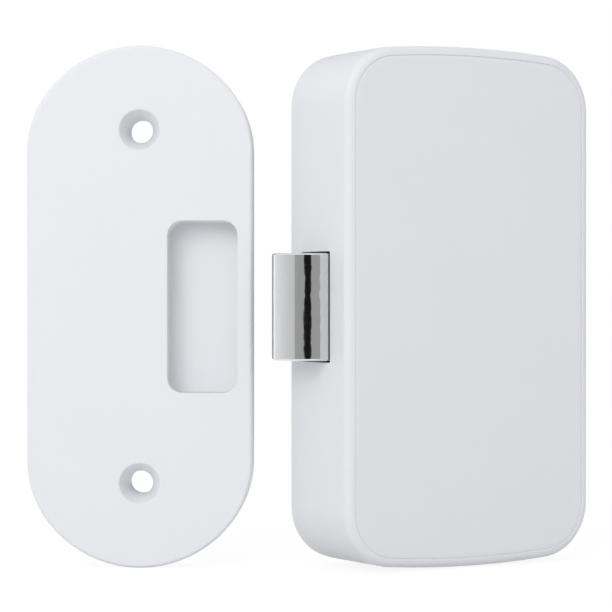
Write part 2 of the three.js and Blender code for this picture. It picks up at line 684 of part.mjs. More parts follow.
// Latch bolt: flat back, end face slanting to a front edge, closing side curving back to the case
function latchBolt() {
  const tip = -halfWidth - BOLT_REACH;
  const edgeX = tip + BOLT_END_SLANT;
  const rootX = -halfWidth;
  const nose = [];
  for (let i = 0; i <= FILLET_STEPS + 1; i += 1) {
    const share = i / (FILLET_STEPS + 1);
    nose.push([edgeX + (rootX - edgeX) * share, boltFront + BOLT_NOSE * (1 - share) ** 2]);
  }
  const profile = [
    [boltInside, boltBack],
    [boltInside, boltFront],
    ...nose.reverse(),
    [tip, boltBack - BOLT_END_SLANT],
    [tip + BOLT_END_SLANT / 2, boltBack],
  ];
  const body = column(profile, -boltTop, boltTop);
  const ears = [1, -1].map((side) => (
    block(earLeft, boltInside, armBack - SEAT, armFront + SEAT, side * (boltTop - SLACK), side * earTop)));
  const bore = rodX(BOLT_SPRING_BORE, boltInside - BOLT_BORE_DEPTH, boltInside + SLACK, boltY, 0);
  return cut(join(body, ...ears), bore);
}
add('latch_bolt', latchBolt(), chrome);

// Bolt carriage: a yoke with two arms round the bolt, and a rack on the upper arm
function boltCarriage() {
  const pitch = Math.PI * MODULE;
  const half = pitch / 4 - PINION_BACKLASH / 2;
  const slope = Math.tan(PRESSURE_ANGLE);
  const rack = [];
  const most = Math.floor((yokeRight - axleX) / pitch - 1);
  const least = Math.ceil((armLeft - axleX) / pitch);
  for (let k = most; k >= least; k -= 1) {
    const middle = axleX + (k + 0.5) * pitch;
    const root = half + slope * rackDepth;
    const crest = half - slope * MODULE;
    rack.push([middle + root, armTop], [middle + crest, rackPitchZ + MODULE]);
    rack.push([middle - crest, rackPitchZ + MODULE], [middle - root, armTop]);
  }
  const grooveLeft = armLeft + ARM_END;
  const profile = [
    [armLeft, armBottom], [yokeRight, armBottom], [yokeRight, armTop], ...rack, [armLeft, armTop],
    [armLeft, armInside], [grooveLeft, armInside], [grooveLeft, grooveTop], [yokeLeft, grooveTop],
    [yokeLeft, -grooveTop], [grooveLeft, -grooveTop], [grooveLeft, -armInside], [armLeft, -armInside],
  ];
  return slab(profile, armBack, armFront);
}
add('bolt_carriage', boltCarriage(), acetal);

const springLeft = boltInside - BOLT_BORE_DEPTH + SEAT;
const springRight = yokeLeft - SEAT;
add('bolt_spring', coil('bolt_spring', SPRING_RADIUS, SPRING_WIRE, SPRING_CURLS, springRight - springLeft)
  .rotateY(Math.PI / 2).translate(springLeft, boltY, 0), steel);
add('position_magnet', rodY(MAGNET_RADIUS, armFront, armFront - MAGNET_THICKNESS, magnetX,
  (armBottom - armInside) / 2), nickel);

// Worm wheel and pinion in one moulding, on a fixed axle
function wormWheel() {
  const tilt = MODULE / (2 * WORM_RADIUS) / wheelRadius;
  const toothed = gearOutline(WHEEL_TEETH, WORM_BACKLASH, Math.PI / 2 + Math.PI / WHEEL_TEETH);
  const wheel = loft([pinionFront, wheelFront].map((y) => (
    ringAt(movedBy(turnedBy(toothed, -tilt * (y - wormY)), axleX, axleZ), y))));
  const pinion = slab(movedBy(gearOutline(PINION_TEETH, PINION_BACKLASH, -Math.PI / 2), axleX, axleZ),
    armBack, pinionFront - WHEEL_WIDTH / 2);
  return cut(join(wheel, pinion), rodY(AXLE_RADIUS + SEAT, floorFront, plateBack, axleX, axleZ));
}
add('worm_wheel', wormWheel(), acetal);
add('gear_axle', rodY(AXLE_RADIUS, floorFront, plateFront + SEAT, axleX, axleZ), steel);

// Mechanism plate over the bolt and the wheel, with a rib that keeps the carriage on its rails
function mechanismPlate() {
  const outline = roundedRectangle(
    (plateLeft + plateRight) / 2,
    (plateTop + plateBottom) / 2,
    plateRight - plateLeft,
    plateTop - plateBottom,
    POST_RADIUS,
  );
  const hold = block(magnetX + BOLT_TRAVEL + MAGNET_RADIUS + SLACK, yokeRight - SEAT, armFront - SEAT,
    plateBack - PLATE / 2, armBottom, -armInside - SEAT);
  return cut(
    join(slab(outline, plateBack, plateFront), hold),
    ...platePosts.map(([x, z]) => screwHole(x, z, plateBack + SLACK, plateFront - SLACK)),
    rodY(AXLE_RADIUS + SEAT, plateBack + SLACK, plateFront - SLACK, axleX, axleZ),
  );
}
add('mechanism_plate', mechanismPlate(), zincSteel);
platePosts.forEach(([x, z], k) => {
  add(`plate_screw_${k + 1}`, screw(x, z, plateFront, PLATE + SCREW_GRIP), zincSteel);
});

// Motor, its shaft with the worm, and their bearing and bracket
function motorCan() {
  const round = rodX(MOTOR_HEIGHT / 2, motorLeft, motorRight, wormY, wormZ);
  const flats = block(motorLeft - SLACK, motorRight + SLACK, motorFrontY, wormY + MOTOR_DEPTH / 2,
    motorBottom - SLACK, motorTop + SLACK);
  const nose = rodX(MOTOR_NOSE, motorLeft - MOTOR_NOSE_LENGTH, motorLeft + SLACK, wormY, wormZ);
  const mouth = motorLeft - MOTOR_NOSE_LENGTH - SLACK;
  const socket = rodX(SHAFT_RADIUS + SEAT, mouth, motorLeft + SHAFT_SOCKET, wormY, wormZ);
  return cut(join(common(round, flats), nose), socket);
}
add('motor_can', motorCan(), steel);

const capRight = motorRight + MOTOR_CAP;
const capHalf = MOTOR_DEPTH / 2 - MOTOR_CAP_STEP;
add('motor_end_cap', common(
  rodX(MOTOR_HEIGHT / 2 - MOTOR_CAP_STEP, motorRight, capRight, wormY, wormZ),
  block(motorRight, capRight, wormY - capHalf, wormY + capHalf, motorBottom, motorTop),
), darkPlastic);
[1, -1].forEach((side, k) => {
  const z = wormZ + side * TERMINAL_SPREAD;
  add(`motor_terminal_${k + 1}`, block(capRight, capRight + TERMINAL_LENGTH, wormY - TERMINAL_WIDTH / 2,
    wormY + TERMINAL_WIDTH / 2, z - TERMINAL_THICKNESS / 2, z + TERMINAL_THICKNESS / 2), brass);
});
const shaftRight = motorLeft + SHAFT_SOCKET - SEAT;
add('motor_shaft', rodX(SHAFT_RADIUS, bearingLeft + SEAT, shaftRight, wormY, wormZ), steel);

function wormThread() {
  const pitch = Math.PI * MODULE;
  const half = pitch / 4 - WORM_BACKLASH / 2;
  const slope = Math.tan(PRESSURE_ANGLE);
  const inner = WORM_RADIUS - rackDepth;
  const outer = WORM_RADIUS + MODULE;
  const section = [[-half - slope * rackDepth, inner - SEAT], [half + slope * rackDepth, inner - SEAT],
    [half - slope * MODULE, outer], [-half + slope * MODULE, outer]];
  const turns = Math.floor(WORM_LENGTH / pitch - 1);
  const rings = [];
  for (let i = 0; i <= turns * THREAD_STEPS; i += 1) {
    const turn = i / THREAD_STEPS - turns / 2;
    const angle = 2 * Math.PI * turn - Math.PI / 2;
    rings.push(section.map(([dx, r]) => new THREE.Vector3(
      axleX + pitch * turn + dx,
      wormY + r * Math.cos(angle),
      wormZ + r * Math.sin(angle),
    )));
  }
  return loft(rings);
}

function worm() {
  const core = rodX(WORM_RADIUS - rackDepth, wormLeft, wormRight, wormY, wormZ);
  const bore = rodX(SHAFT_RADIUS + SEAT, wormLeft - SLACK, wormRight + SLACK, wormY, wormZ);
  return cut(join(core, wormThread()), bore);
}
add('worm', worm(), brass);

const bearingFront = wormY - SHAFT_RADIUS - BEARING_WALL;
add('worm_bearing', cut(
  block(bearingLeft, bearingRight, floorFront, bearingFront, wormZ - BEARING_WALL, wormZ + BEARING_WALL),
  rodX(SHAFT_RADIUS + SEAT, bearingLeft - SLACK, bearingRight + SLACK, wormY, wormZ),
), acetal);

function motorBracket() {
  const [x0, x1] = [bracketLeft, bracketLeft + BRACKET_WIDTH];
  const [low, high] = [motorBottom - SEAT, motorTop + SEAT];
  const strap = block(x0, x1, bracketFront, bracketFront + BRACKET, low - BRACKET, high + BRACKET);
  const legs = [
    block(x0, x1, bracketFront, floorFront, low - BRACKET, low),
    block(x0, x1, bracketFront, floorFront, high, high + BRACKET),
  ];
  const foot = block(x0, x1, floorFront - BRACKET, floorFront, high, high + BRACKET + BRACKET_FOOT);
  const hole = screwHole(...bracketScrewPlace, floorFront + SLACK, floorFront - BRACKET - SLACK);
  return cut(join(strap, ...legs, foot), hole);
}
add('motor_bracket', motorBracket(), zincSteel);
add('bracket_screw', screw(...bracketScrewPlace, floorFront - BRACKET, BRACKET + FLOOR - SEAT), zincSteel);

// Battery tray, cells and contacts
const stackLow = trayBottom + TRAY_WALL;
const stackHigh = trayTop - TRAY_WALL;

function batteryTray() {
  const rim = trayFloor - TRAY_SIDE;
  const outside = block(trayLeft, trayRight, floorFront, rim, trayBottom, trayTop);
  const [left, right] = [trayLeft + TRAY_WALL, trayRight - TRAY_WALL];
  const inside = block(left, right, trayFloor, rim - SLACK, stackLow, stackHigh);
  const tabSlots = cellX.map((x) => block(x - CONTACT_TAB / 2 - SEAT, x + CONTACT_TAB / 2 + SEAT,
    cellY + CONTACT / 2 + SEAT, cellY - CONTACT / 2 - SEAT, trayBottom - SLACK, stackLow + SLACK));
  const stakeHoles = stakes.map(([x, z]) => (
    rodY(STAKE_RADIUS + SEAT, floorFront + SLACK, trayFloor - SLACK, x, z)));
  return cut(outside, inside, ...tabSlots, ...stakeHoles);
}
add('battery_tray', batteryTray(), greyPlastic);

function cell(x, z0, nubUp) {
  const shoulder = CELL_LENGTH - CELL_NUB;
  const profile = [[0, 0], [CELL_RADIUS, 0], [CELL_RADIUS, shoulder], [CELL_NUB_RADIUS, shoulder],
    [CELL_NUB_RADIUS, CELL_LENGTH], [0, CELL_LENGTH]];
  const lathe = new THREE.LatheGeometry(profile.map(([r, h]) => new THREE.Vector2(r, h)), ROUND);
  const upright = facingOut(tidy(lathe)).rotateX(nubUp ? Math.PI / 2 : -Math.PI / 2);
  return upright.translate(x, cellY, nubUp ? z0 : z0 + CELL_LENGTH);
}
const firstCellLow = stackLow + CONTACT + CONTACT_SPRING + SEAT;
const secondCellLow = stackLow + CONTACT + SEAT;
add('cell_1', cell(cellX[0], firstCellLow, true), cellJacket);
add('cell_2', cell(cellX[1], secondCellLow, false), cellJacket);

const contactBack = trayFloor - SEAT;
const contactFront = contactBack - CONTACT_WIDTH;
const contactSink = CONTACT / 2;

function contactPlate(x0, x1, z0) {
  return block(x0, x1, contactBack, contactFront, z0, z0 + CONTACT);
}

function contactCoil(name) {
  return coil(name, CONTACT_SPRING_RADIUS, CONTACT_WIRE, CONTACT_CURLS, CONTACT_SPRING + contactSink);
}

function contactTab(x) {
  return block(x - CONTACT_TAB / 2, x + CONTACT_TAB / 2, cellY + CONTACT / 2, cellY - CONTACT / 2,
    trayBottom - CONTACT_TAB, stackLow + contactSink);
}
const halfContact = CONTACT_WIDTH / 2;
add('contact_negative', join(
  contactPlate(cellX[0] - halfContact, cellX[0] + halfContact, stackLow),
  contactTab(cellX[0]),
  contactCoil('contact_negative').translate(cellX[0], cellY, stackLow + contactSink),
), nickel);
add('contact_positive', join(
  contactPlate(cellX[1] - halfContact, cellX[1] + halfContact, stackLow),
  contactTab(cellX[1]),
), nickel);
add('contact_bridge', join(
  contactPlate(cellX[0] - halfContact, cellX[1] + halfContact, stackHigh - CONTACT),
  contactCoil('contact_bridge').rotateX(Math.PI).translate(cellX[1], cellY, stackHigh - contactSink),
), nickel);

// Main circuit board in the lower corner, cut to the inside of the case
const boardSpace = slab(caseOutline(WALL + SEAT), 0, frontFace);
add('circuit_board', cut(
  common(block(boardLeft, boardRight, standoffTop, boardFace, boardBottom, boardTop), boardSpace),
  ...boardScrews.map(([x, z]) => screwHole(x, z, standoffTop + SLACK, boardFace - SLACK)),
), boardGreen);
boardScrews.forEach(([x, z], k) => {
  add(`board_screw_${k + 1}`, screw(x, z, boardFace, BOARD + SCREW_GRIP), zincSteel);
});

// Parts on the main board
function onBoard(part) {
  return [boardLeft + part.fromLeft, boardTop - part.below];
}

function boardBlock({ width, height, thickness }, x, z) {
  const [halfX, halfZ] = [width / 2, height / 2];
  return block(x - halfX, x + halfX, boardFace, boardFace - thickness, z - halfZ, z + halfZ);
}
const chips = [
  ['processor_chip', PROCESSOR_CHIP, blackResin],
  ['driver_chip', DRIVER_CHIP, blackResin],
  ['hall_sensor', HALL_SENSOR, blackResin],
  ['status_led', STATUS_LED, ledLens],
  ['motor_connector', MOTOR_CONNECTOR, acetal],
  ['battery_connector', BATTERY_CONNECTOR, acetal],
  ['link_socket_1', LINK_SOCKET, acetal],
];
chips.forEach(([name, part, material]) => add(name, boardBlock(part, ...onBoard(part)), material));

const capacitorFront = boardFace - CAPACITOR.thickness;
add('capacitor', rodY(CAPACITOR.radius, boardFace, capacitorFront, ...onBoard(CAPACITOR)), darkPlastic);
const buzzerFront = boardFace - BUZZER.thickness;
add('buzzer', cut(
  rodY(BUZZER.radius, boardFace, buzzerFront, ...onBoard(BUZZER)),
  rodY(BUZZER.hole, buzzerFront + SLACK, buzzerFront - SLACK, ...onBoard(BUZZER)),
), blackResin);

// Setup button in its switch
const switchFront = boardFace - SWITCH.thickness;
const buttonBack = switchFront + SWITCH_WELL - BUTTON_TRAVEL - SEAT / 2;
add('switch_base', cut(
  boardBlock(SWITCH, ...onBoard(SWITCH)),
  rodY(BUTTON_RADIUS + SEAT, switchFront + SWITCH_WELL, switchFront - SLACK, ...onBoard(SWITCH)),
), steel);
const setupButton = rodY(BUTTON_RADIUS, buttonBack, switchFront - BUTTON_STEM, ...onBoard(SWITCH));
add('setup_button', setupButton, darkPlastic);

// Radio board above the motor
add('radio_board', cut(
  block(radioLeft, radioRight, standoffTop, boardFace, radioBottom, radioTop),
  ...radioScrews.map(([x, z]) => screwHole(x, z, standoffTop + SLACK, boardFace - SLACK)),
), boardGreen);
radioScrews.forEach(([x, z], k) => {
  add(`radio_screw_${k + 1}`, screw(x, z, boardFace, BOARD + SCREW_GRIP), zincSteel);
});
const radioModuleX = radioScrews[1][0] - SCREW_HEAD - SLACK - RADIO_MODULE.width / 2;
const radioModuleZ = radioTop - SLACK - RADIO_MODULE.height / 2;
add('radio_module', boardBlock(RADIO_MODULE, radioModuleX, radioModuleZ), nickel);

// Ribbon in front of the mechanism plate, from the main board to the radio board
const [ribbonX, lowSocketZ] = onBoard(LINK_SOCKET);
const highSocketZ = radioTop - SLACK - LINK_SOCKET.height / 2;
const socketFront = boardFace - LINK_SOCKET.thickness;
add('link_socket_2', boardBlock(LINK_SOCKET, ribbonX, highSocketZ), acetal);

// A flat band along points (y, z), with its width along X.
function band(points, thickness, x0, x1) {
  const path = points.map(([y, z]) => new THREE.Vector2(y, z));
  const side = path.map((point, i) => {
    const along = path[Math.min(i + 1, path.length - 1)].clone().sub(path[Math.max(i - 1, 0)]).normalize();
    return new THREE.Vector2(-along.y, along.x).multiplyScalar(thickness / 2);
  });
  const edge = [
    ...path.map((point, i) => point.clone().add(side[i])),
    ...path.map((point, i) => point.clone().sub(side[i])).reverse(),
  ];
  return loft([x0, x1].map((x) => edge.map((point) => new THREE.Vector3(x, point.x, point.y))));
}
const ribbonY = coverBack + SLACK + RIBBON / 2;
const ribbonBend = socketFront - ribbonY;
const ribbonStart = socketFront - SEAT;
add('link_ribbon', band([
  [ribbonStart, highSocketZ],
  [ribbonY + ribbonBend / 2, highSocketZ - ribbonBend / 16],
  [ribbonY + ribbonBend / 8, highSocketZ - ribbonBend / 4],
  [ribbonY, highSocketZ - ribbonBend / 2],
  [ribbonY, plateBottom + ribbonBend / 4],
  [ribbonY + ribbonBend / 8, plateBottom - ribbonBend / 8],
  [ribbonY + ribbonBend / 2, lowSocketZ + ribbonBend / 16],
  [ribbonStart, lowSocketZ],
], RIBBON, ribbonX - RIBBON_WIDTH / 2, ribbonX + RIBBON_WIDTH / 2), ribbonGrey);

// Leads, each along points chosen by hand
const leads = {
  motor_lead_1: {
    material: redLead,
    steps: 44,
    route: [[14.7, -10.1, 27.5], [16.4, -10.3, 28.0], [17.0, -11.8, 30.4], [15.0, -13.4, 32.4],
      [9, -13.8, 33.0], [0, -13.8, 33.0], [-8.5, -13.8, 32.4], [-11.7, -14.5, 28.6], [-12.0, -14.9, 22],
      [-12.0, -14.9, 0], [-12.0, -14.9, -22], [-12.0, -13.2, -28.3], [-12.0, -10.7, -30.2]],
  },
  motor_lead_2: {
    material: blackLead,
    steps: 48,
    route: [[14.7, -10.1, 20.7], [16.8, -10.3, 21.2], [18.6, -10.8, 24.5], [18.9, -12.0, 30.0],
      [16.4, -13.6, 33.9], [9, -13.8, 34.5], [0, -13.8, 34.5], [-9.0, -13.8, 34.0], [-12.9, -14.5, 29.6],
      [-13.4, -14.9, 22], [-13.4, -14.9, 0], [-13.4, -14.9, -22], [-13.4, -13.2, -28.3],
      [-13.4, -10.7, -30.2]],
  },
  battery_lead_1: {
    material: redLead,
    steps: 16,
    route: [[15.4, -10.0, -36.7], [14.8, -10.0, -38.1], [12, -10.4, -38.9], [6, -10.6, -39.1],
      [1.5, -9.6, -38.5], [-2.5, -8.4, -36.9]],
  },
  battery_lead_2: {
    material: blackLead,
    steps: 12,
    route: [[4.7, -10.0, -36.7], [4.4, -9.9, -37.5], [3.0, -9.6, -37.4], [0.5, -8.9, -36.3],
      [-2.5, -8.4, -35.5]],
  },
};
Object.entries(leads).forEach(([name, { material, steps, route }]) => {
  const points = route.map((point) => new THREE.Vector3(...point));
  const curve = new THREE.CatmullRomCurve3(points, false, 'centripetal');
  add(name, sweep(curve, LEAD_RADIUS, LEAD_SIDES, steps), material);
});

// Strike plate, turned to stand beside the lock with its pocket level with the bolt
function strikeOutline(inset) {
  const half = STRIKE_WIDTH / 2 - inset;
  const radius = STRIKE_END_RADIUS - inset;
  const middle = STRIKE_HEIGHT / 2 - STRIKE_END_RADIUS;
  const reach = Math.acos(Math.min(1, half / radius));
  const top = arc(0, middle, radius, reach, Math.PI - reach, 3 * CORNER_STEPS);
  return [...top, ...top.map(([x, z]) => [-x, -z])];
}

function strikePlate() {
  const rings = [ringAt(strikeOutline(0), STRIKE_THICKNESS)];
  for (let i = 0; i <= FILLET_STEPS; i += 1) {
    const angle = (Math.PI / 2) * (i / FILLET_STEPS);
    const inset = STRIKE_EDGE * (1 - Math.cos(angle));
    rings.push(ringAt(strikeOutline(inset), STRIKE_EDGE * (1 - Math.sin(angle))));
  }
  const pocketOutline = roundedRectangle(POCKET_X, 0, POCKET_WIDTH, POCKET_HEIGHT, POCKET_RADIUS);
  const pocket = slab(pocketOutline, POCKET_DEPTH, -SLACK);
  const sinkDepth = STRIKE_SINK - STRIKE_HOLE;
  const holes = [STRIKE_HOLE_Z, -STRIKE_HOLE_Z].flatMap((z) => [
    rodY(STRIKE_HOLE, STRIKE_THICKNESS + SLACK, -SLACK, 0, z),
    coneY(STRIKE_HOLE, STRIKE_SINK + SLACK, sinkDepth, -SLACK, 0, z),
  ]);
  return cut(loft(rings), pocket, ...holes);
}
const strike = new THREE.Group();
const strikeMesh = new THREE.Mesh(strikePlate(), strikePlastic);
strikeMesh.name = 'strike_plate';
strike.add(strikeMesh);
strike.position.set(-halfWidth - STRIKE_LEFT_OF_CASE, STRIKE_BEHIND_BACK, 0);
strike.rotation.z = STRIKE_TURN;
lock.add(strike);

export default lock;
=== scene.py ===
"""Smart cabinet lock with its strike plate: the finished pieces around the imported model, in metres."""
import json
import math

import bmesh
import bpy
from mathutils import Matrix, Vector


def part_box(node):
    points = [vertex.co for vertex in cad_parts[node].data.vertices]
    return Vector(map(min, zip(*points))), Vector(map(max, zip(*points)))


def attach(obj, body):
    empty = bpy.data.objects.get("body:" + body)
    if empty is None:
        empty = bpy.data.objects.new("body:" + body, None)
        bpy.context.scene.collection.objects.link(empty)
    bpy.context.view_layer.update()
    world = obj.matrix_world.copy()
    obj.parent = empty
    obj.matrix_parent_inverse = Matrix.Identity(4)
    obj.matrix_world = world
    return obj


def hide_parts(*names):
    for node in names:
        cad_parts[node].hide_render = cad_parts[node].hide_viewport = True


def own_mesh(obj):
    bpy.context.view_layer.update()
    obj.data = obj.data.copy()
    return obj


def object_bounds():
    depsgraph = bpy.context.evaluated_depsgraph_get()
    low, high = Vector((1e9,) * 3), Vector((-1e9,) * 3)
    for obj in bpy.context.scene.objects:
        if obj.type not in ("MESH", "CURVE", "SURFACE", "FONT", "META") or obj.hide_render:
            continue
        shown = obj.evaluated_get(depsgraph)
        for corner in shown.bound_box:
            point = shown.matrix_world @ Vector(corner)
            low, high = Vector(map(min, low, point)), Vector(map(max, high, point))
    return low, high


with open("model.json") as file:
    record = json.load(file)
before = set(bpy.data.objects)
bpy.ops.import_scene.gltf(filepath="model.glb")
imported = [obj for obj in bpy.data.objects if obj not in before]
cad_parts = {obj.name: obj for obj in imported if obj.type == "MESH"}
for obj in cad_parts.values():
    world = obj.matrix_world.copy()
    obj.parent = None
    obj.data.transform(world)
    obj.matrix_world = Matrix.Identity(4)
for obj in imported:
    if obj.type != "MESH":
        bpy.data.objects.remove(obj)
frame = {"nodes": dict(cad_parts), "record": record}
cad_low, cad_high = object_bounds()

MM = 0.001

# Places that the frame gives
case_low, case_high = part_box("housing")
bolt_low, bolt_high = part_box("latch_bolt")
carriage_low, carriage_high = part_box("bolt_carriage")
spring_low, spring_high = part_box("bolt_spring")
plate_low, plate_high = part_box("mounting_plate")
mounts = {mount["name"]: mount for mount in frame["record"]["mounts"]}
joints = {joint["name"]: joint for joint in frame["record"]["behaviour"]["joints"]}
strike_back = Vector(mounts["strike_back"]["pos_m"])
strike_out = Vector(mounts["strike_back"]["axis"])

# Fits
SEAT = 0.3 * MM
SLACK = 0.5 * MM

# Case
WALL = 1.5 * MM
FLOOR = 1.4 * MM
CORNER_RADIUS = 9.1 * MM
CROWN = 1.5 * MM
FRONT_FILLET = 1.4 * MM
BACK_FILLET = 0.12 * MM
RIM_DIP = 0.10 * MM
COVER_THICKNESS = 1.8 * MM
COVER_GAP = 0.012 * MM
COVER_SHOULDER = 0.9 * MM
COVER_DROP = 0.12 * MM
LEDGE_WIDTH = 1.2 * MM
LEDGE_THICKNESS = 1.2 * MM
LIP_INSET = 3.0 * MM
LIP_WIDTH = 0.8 * MM
LIP_HEIGHT = 1.0 * MM
PLATE_INSET = 0.1 * MM
DOOR_HOLE = 2.1 * MM
DOOR_SINK = 3.9 * MM
DOOR_HOLE_X = 13.5 * MM
DOOR_HOLE_Z = 29 * MM
OPENING_GAP = 0.3 * MM
OPENING_SIDE = 0.3 * MM
OPENING_CORNER = 0.3 * MM
PLATE_EDGE = 0.25 * MM
BOSS_EDGE = 0.15 * MM
BOSS_CLEARANCE = 0.05 * MM

# Bolt
BOLT_HEIGHT = 17.3 * MM
BOLT_END_SLANT = 0.7 * MM
BOLT_END_CROWN = 0.2 * MM
BOLT_CHAMFER = 0.45 * MM
BOLT_CHAMFER_DEPTH = 1.4 * MM
BOLT_NOSE = 1.0 * MM
BOLT_EDGE = 0.6 * MM
NOSE_STEPS = 9
END_STEPS = 8
EAR_LENGTH = 2.0 * MM
SPRING_BORE = 2.8 * MM
BORE_DEPTH = 8.0 * MM

# Springs, screws, cells and leads
SPRING_WIRE = 0.25 * MM
SPRING_TURNS = 8
CONTACT = 0.4 * MM
CONTACT_TAB = 2.0 * MM
CONTACT_RADIUS = 2.2 * MM
CONTACT_WIRE = 0.2 * MM
CONTACT_TURNS = 2
CONTACT_EDGE = 0.08 * MM
TRAY_WALL = 1.0 * MM
SCREW_HEAD = 1.7 * MM
SCREW_HEAD_HEIGHT = 1.2 * MM
SCREW_DOME = 0.7 * MM
SCREW_SHANK = 0.75 * MM
CROSS_LENGTH = 1.7 * MM
CROSS_WIDTH = 0.42 * MM
CROSS_DEPTH = 0.7 * MM
SCREW_EDGE = 0.05 * MM
CELL_END = 3.2 * MM
CELL_DISH = 0.2 * MM
CELL_DISH_RADIUS = 2.24 * MM
CELL_NUB = 1.0 * MM
CELL_NUB_RADIUS = 1.9 * MM
JACKET = 0.15 * MM
JACKET_FOOT = 0.1 * MM
JACKET_ROUND = 0.35 * MM
JACKET_CURL = 1.1 * MM
JACKET_LIP = 0.06 * MM
LEAD_SWELL = 0.08 * MM
PAD_CORNER = 1.5 * MM
PAD_EDGE = 0.25 * MM

# Edge roundings of the pieces that are copied from their solids, in millimetres
EDGES = {
    "bolt_carriage": 0.12, "worm_wheel": 0.05, "worm_bearing": 0.2, "mechanism_plate": 0.12,
    "motor_bracket": 0.12, "motor_can": 0.35, "motor_end_cap": 0.15, "motor_terminal_1": 0.1,
    "motor_terminal_2": 0.1, "battery_tray": 0.2, "contact_positive": 0.06, "circuit_board": 0.06,
    "radio_board": 0.06, "processor_chip": 0.08, "driver_chip": 0.08, "hall_sensor": 0.12,
    "status_led": 0.12, "motor_connector": 0.15, "battery_connector": 0.15, "link_socket_1": 0.12,
    "link_socket_2": 0.12, "switch_base": 0.1, "radio_module": 0.25, "position_magnet": 0.12,
    "gear_axle": 0.15, "motor_shaft": 0.08, "link_ribbon": 0.12, "worm": 0.0,
}

# Turned board parts, in millimetres: the rim's radius, then (radius, depth) points across the top
TURNED_PARTS = {
    "capacitor": (0.4, [(1.1, 0), (1.0, 0.15), (0, 0.15)]),
    "buzzer": (0.25, [(0.55, 0), (0.5, 0.05), (0.5, 0.5), (0, 0.5)]),
    "setup_button": (0.2, [(0.6, 0), (0, 0.08)]),
}

# Strike plate
STRIKE_WIDTH = 36.9 * MM
STRIKE_HEIGHT = 85.4 * MM
STRIKE_THICKNESS = 7.0 * MM
STRIKE_CORNER = 16.4 * MM
STRIKE_CROWN_RADIUS = 19.0 * MM
STRIKE_EDGE = 0.6 * MM
STRIKE_HOLE = 1.95 * MM
STRIKE_SINK = 3.35 * MM
STRIKE_SINK_DEPTH = 3.0 * MM
STRIKE_HOLE_Z = 28.9 * MM
POCKET_X = 10.3 * MM
POCKET_WIDTH = 11.4 * MM
POCKET_HEIGHT = 28.1 * MM
POCKET_DEPTH = 5.2 * MM
POCKET_RADIUS = 2.4 * MM
RIM_ROUND = 0.3 * MM

# Camera and light
CAMERA_PLACE = Vector((-225.45, -346.8, 1.77)) * MM
CAMERA_YAW = math.radians(30.543)
CAMERA_PITCH = math.radians(-0.235)
CAMERA_LENS = 143.27
CAMERA_SENSOR = 36
KEY_LAMP_PLACE = (-0.60, -0.42, 0.32)
KEY_LAMP_SIZE = 0.5
KEY_LAMP_POWER = 2.3
SKY_LEVEL = 0.78
FLOOR_SIZE = 6
FLOOR_TONE = 0.8
FLOOR_GLOW = 1.06
FLOOR_GLOW_SHARE = 0.85

# Cards that the chrome mirrors: bearing and width in degrees, tone at the right and the left edge,
# distance and height in metres
CARDS = {
    "front_left_card": (62, 62, 0.42, 0.42, 0.34, 0.3),
    "back_left_card": (130, 76, 0.22, 1.22, 0.36, 0.3),
    "grey_card": (6, 51, 0.40, 0.40, 0.32, 0.3),
    "black_card": (-2.5, 8.5, 0.01, 0.01, 0.30, 0.3),
    "light_card": (-33, 28, 0.78, 0.88, 0.33, 0.3),
    "back_card": (212, 84, 0.4, 0.4, 0.34, 0.5),
}

# Colours
WHITE = (0.735, 0.745, 0.775)
# Painted light: the strike's white is the case's white plastic made lighter, standing in for the stronger
# light on the strike
STRIKE_WHITE_PAINTED_LIGHTER = (0.75, 0.765, 0.79)
CHROME = (0.76, 0.765, 0.775)

half_width = case_high.x
half_height = case_high.z
front_y = case_low.y
back_y = case_high.y
floor_y = back_y - FLOOR
cover_back = front_y + COVER_THICKNESS
case_crown_radius = (half_width ** 2 + CROWN ** 2) / (2 * CROWN)


class Value:
    """A shader socket that takes part in Python sums."""

    def __init__(self, finish, socket):
        self.finish = finish
        self.socket = socket

    def sum_with(self, operation, first, second):
        return self.finish.add("ShaderNodeMath", {"operation": operation}, {0: first, 1: second})

    def __add__(self, other):
        return self.sum_with("ADD", self, other)

    def __sub__(self, other):
        return self.sum_with("SUBTRACT", self, other)

    def __mul__(self, other):
        return self.sum_with("MULTIPLY", self, other)

    __radd__ = __add__
    __rmul__ = __mul__


class Finish:
    """One material: its nodes, and the surface shader that they feed."""

    def __init__(self, name, **sockets):
        self.material = bpy.data.materials.new(name)
        self.material.use_nodes = True
        self.tree = self.material.node_tree
        self.surface = self.tree.nodes["Principled BSDF"]
        self.set(**sockets)

    def set(self, **sockets):
        for name, value in sockets.items():
            self.feed(self.surface.inputs[name.replace("_", " ")], value)

    def feed(self, socket, value):
        if isinstance(value, Value):
            self.tree.links.new(value.socket, socket)
        else:
            socket.default_value = value

    def add(self, kind, settings=None, sockets=None, output=0):
        node = self.tree.nodes.new(kind)
        for name, value in (settings or {}).items():
            if name == "stops":
                self.set_stops(node.color_ramp, value)
            else:
                setattr(node, name, value)
        for key, value in (sockets or {}).items():
            self.feed(node.inputs[key], value)
        return Value(self, node.outputs[output])

    def set_stops(self, ramp, stops):
        while len(ramp.elements) < len(stops):
            ramp.elements.new(1.0)
        for element, (place, tone) in zip(ramp.elements, stops):
            element.position = place
            element.color = (tone, tone, tone, 1.0) if isinstance(tone, (int, float)) else (*tone, 1.0)

    def place(self):
        return self.add("ShaderNodeTexCoord", output=3)

    def noise(self, scale, detail=2.0, roughness=0.5):
        sockets = {"Vector": self.place(), "Scale": scale, "Detail": detail, "Roughness": roughness}
        return self.add("ShaderNodeTexNoise", {}, sockets)

    def mix(self, share, first, second):
        sockets = {0: share, 6: (*first, 1.0), 7: (*second, 1.0)}
        return self.add("ShaderNodeMix", {"data_type": "RGBA"}, sockets, output=2)

    def bump(self, height, strength, distance):
        sockets = {"Height": height, "Strength": strength, "Distance": distance}
        self.set(Normal=self.add("ShaderNodeBump", {}, sockets))


def shade(colour, factor):
    return tuple(channel * factor for channel in colour)


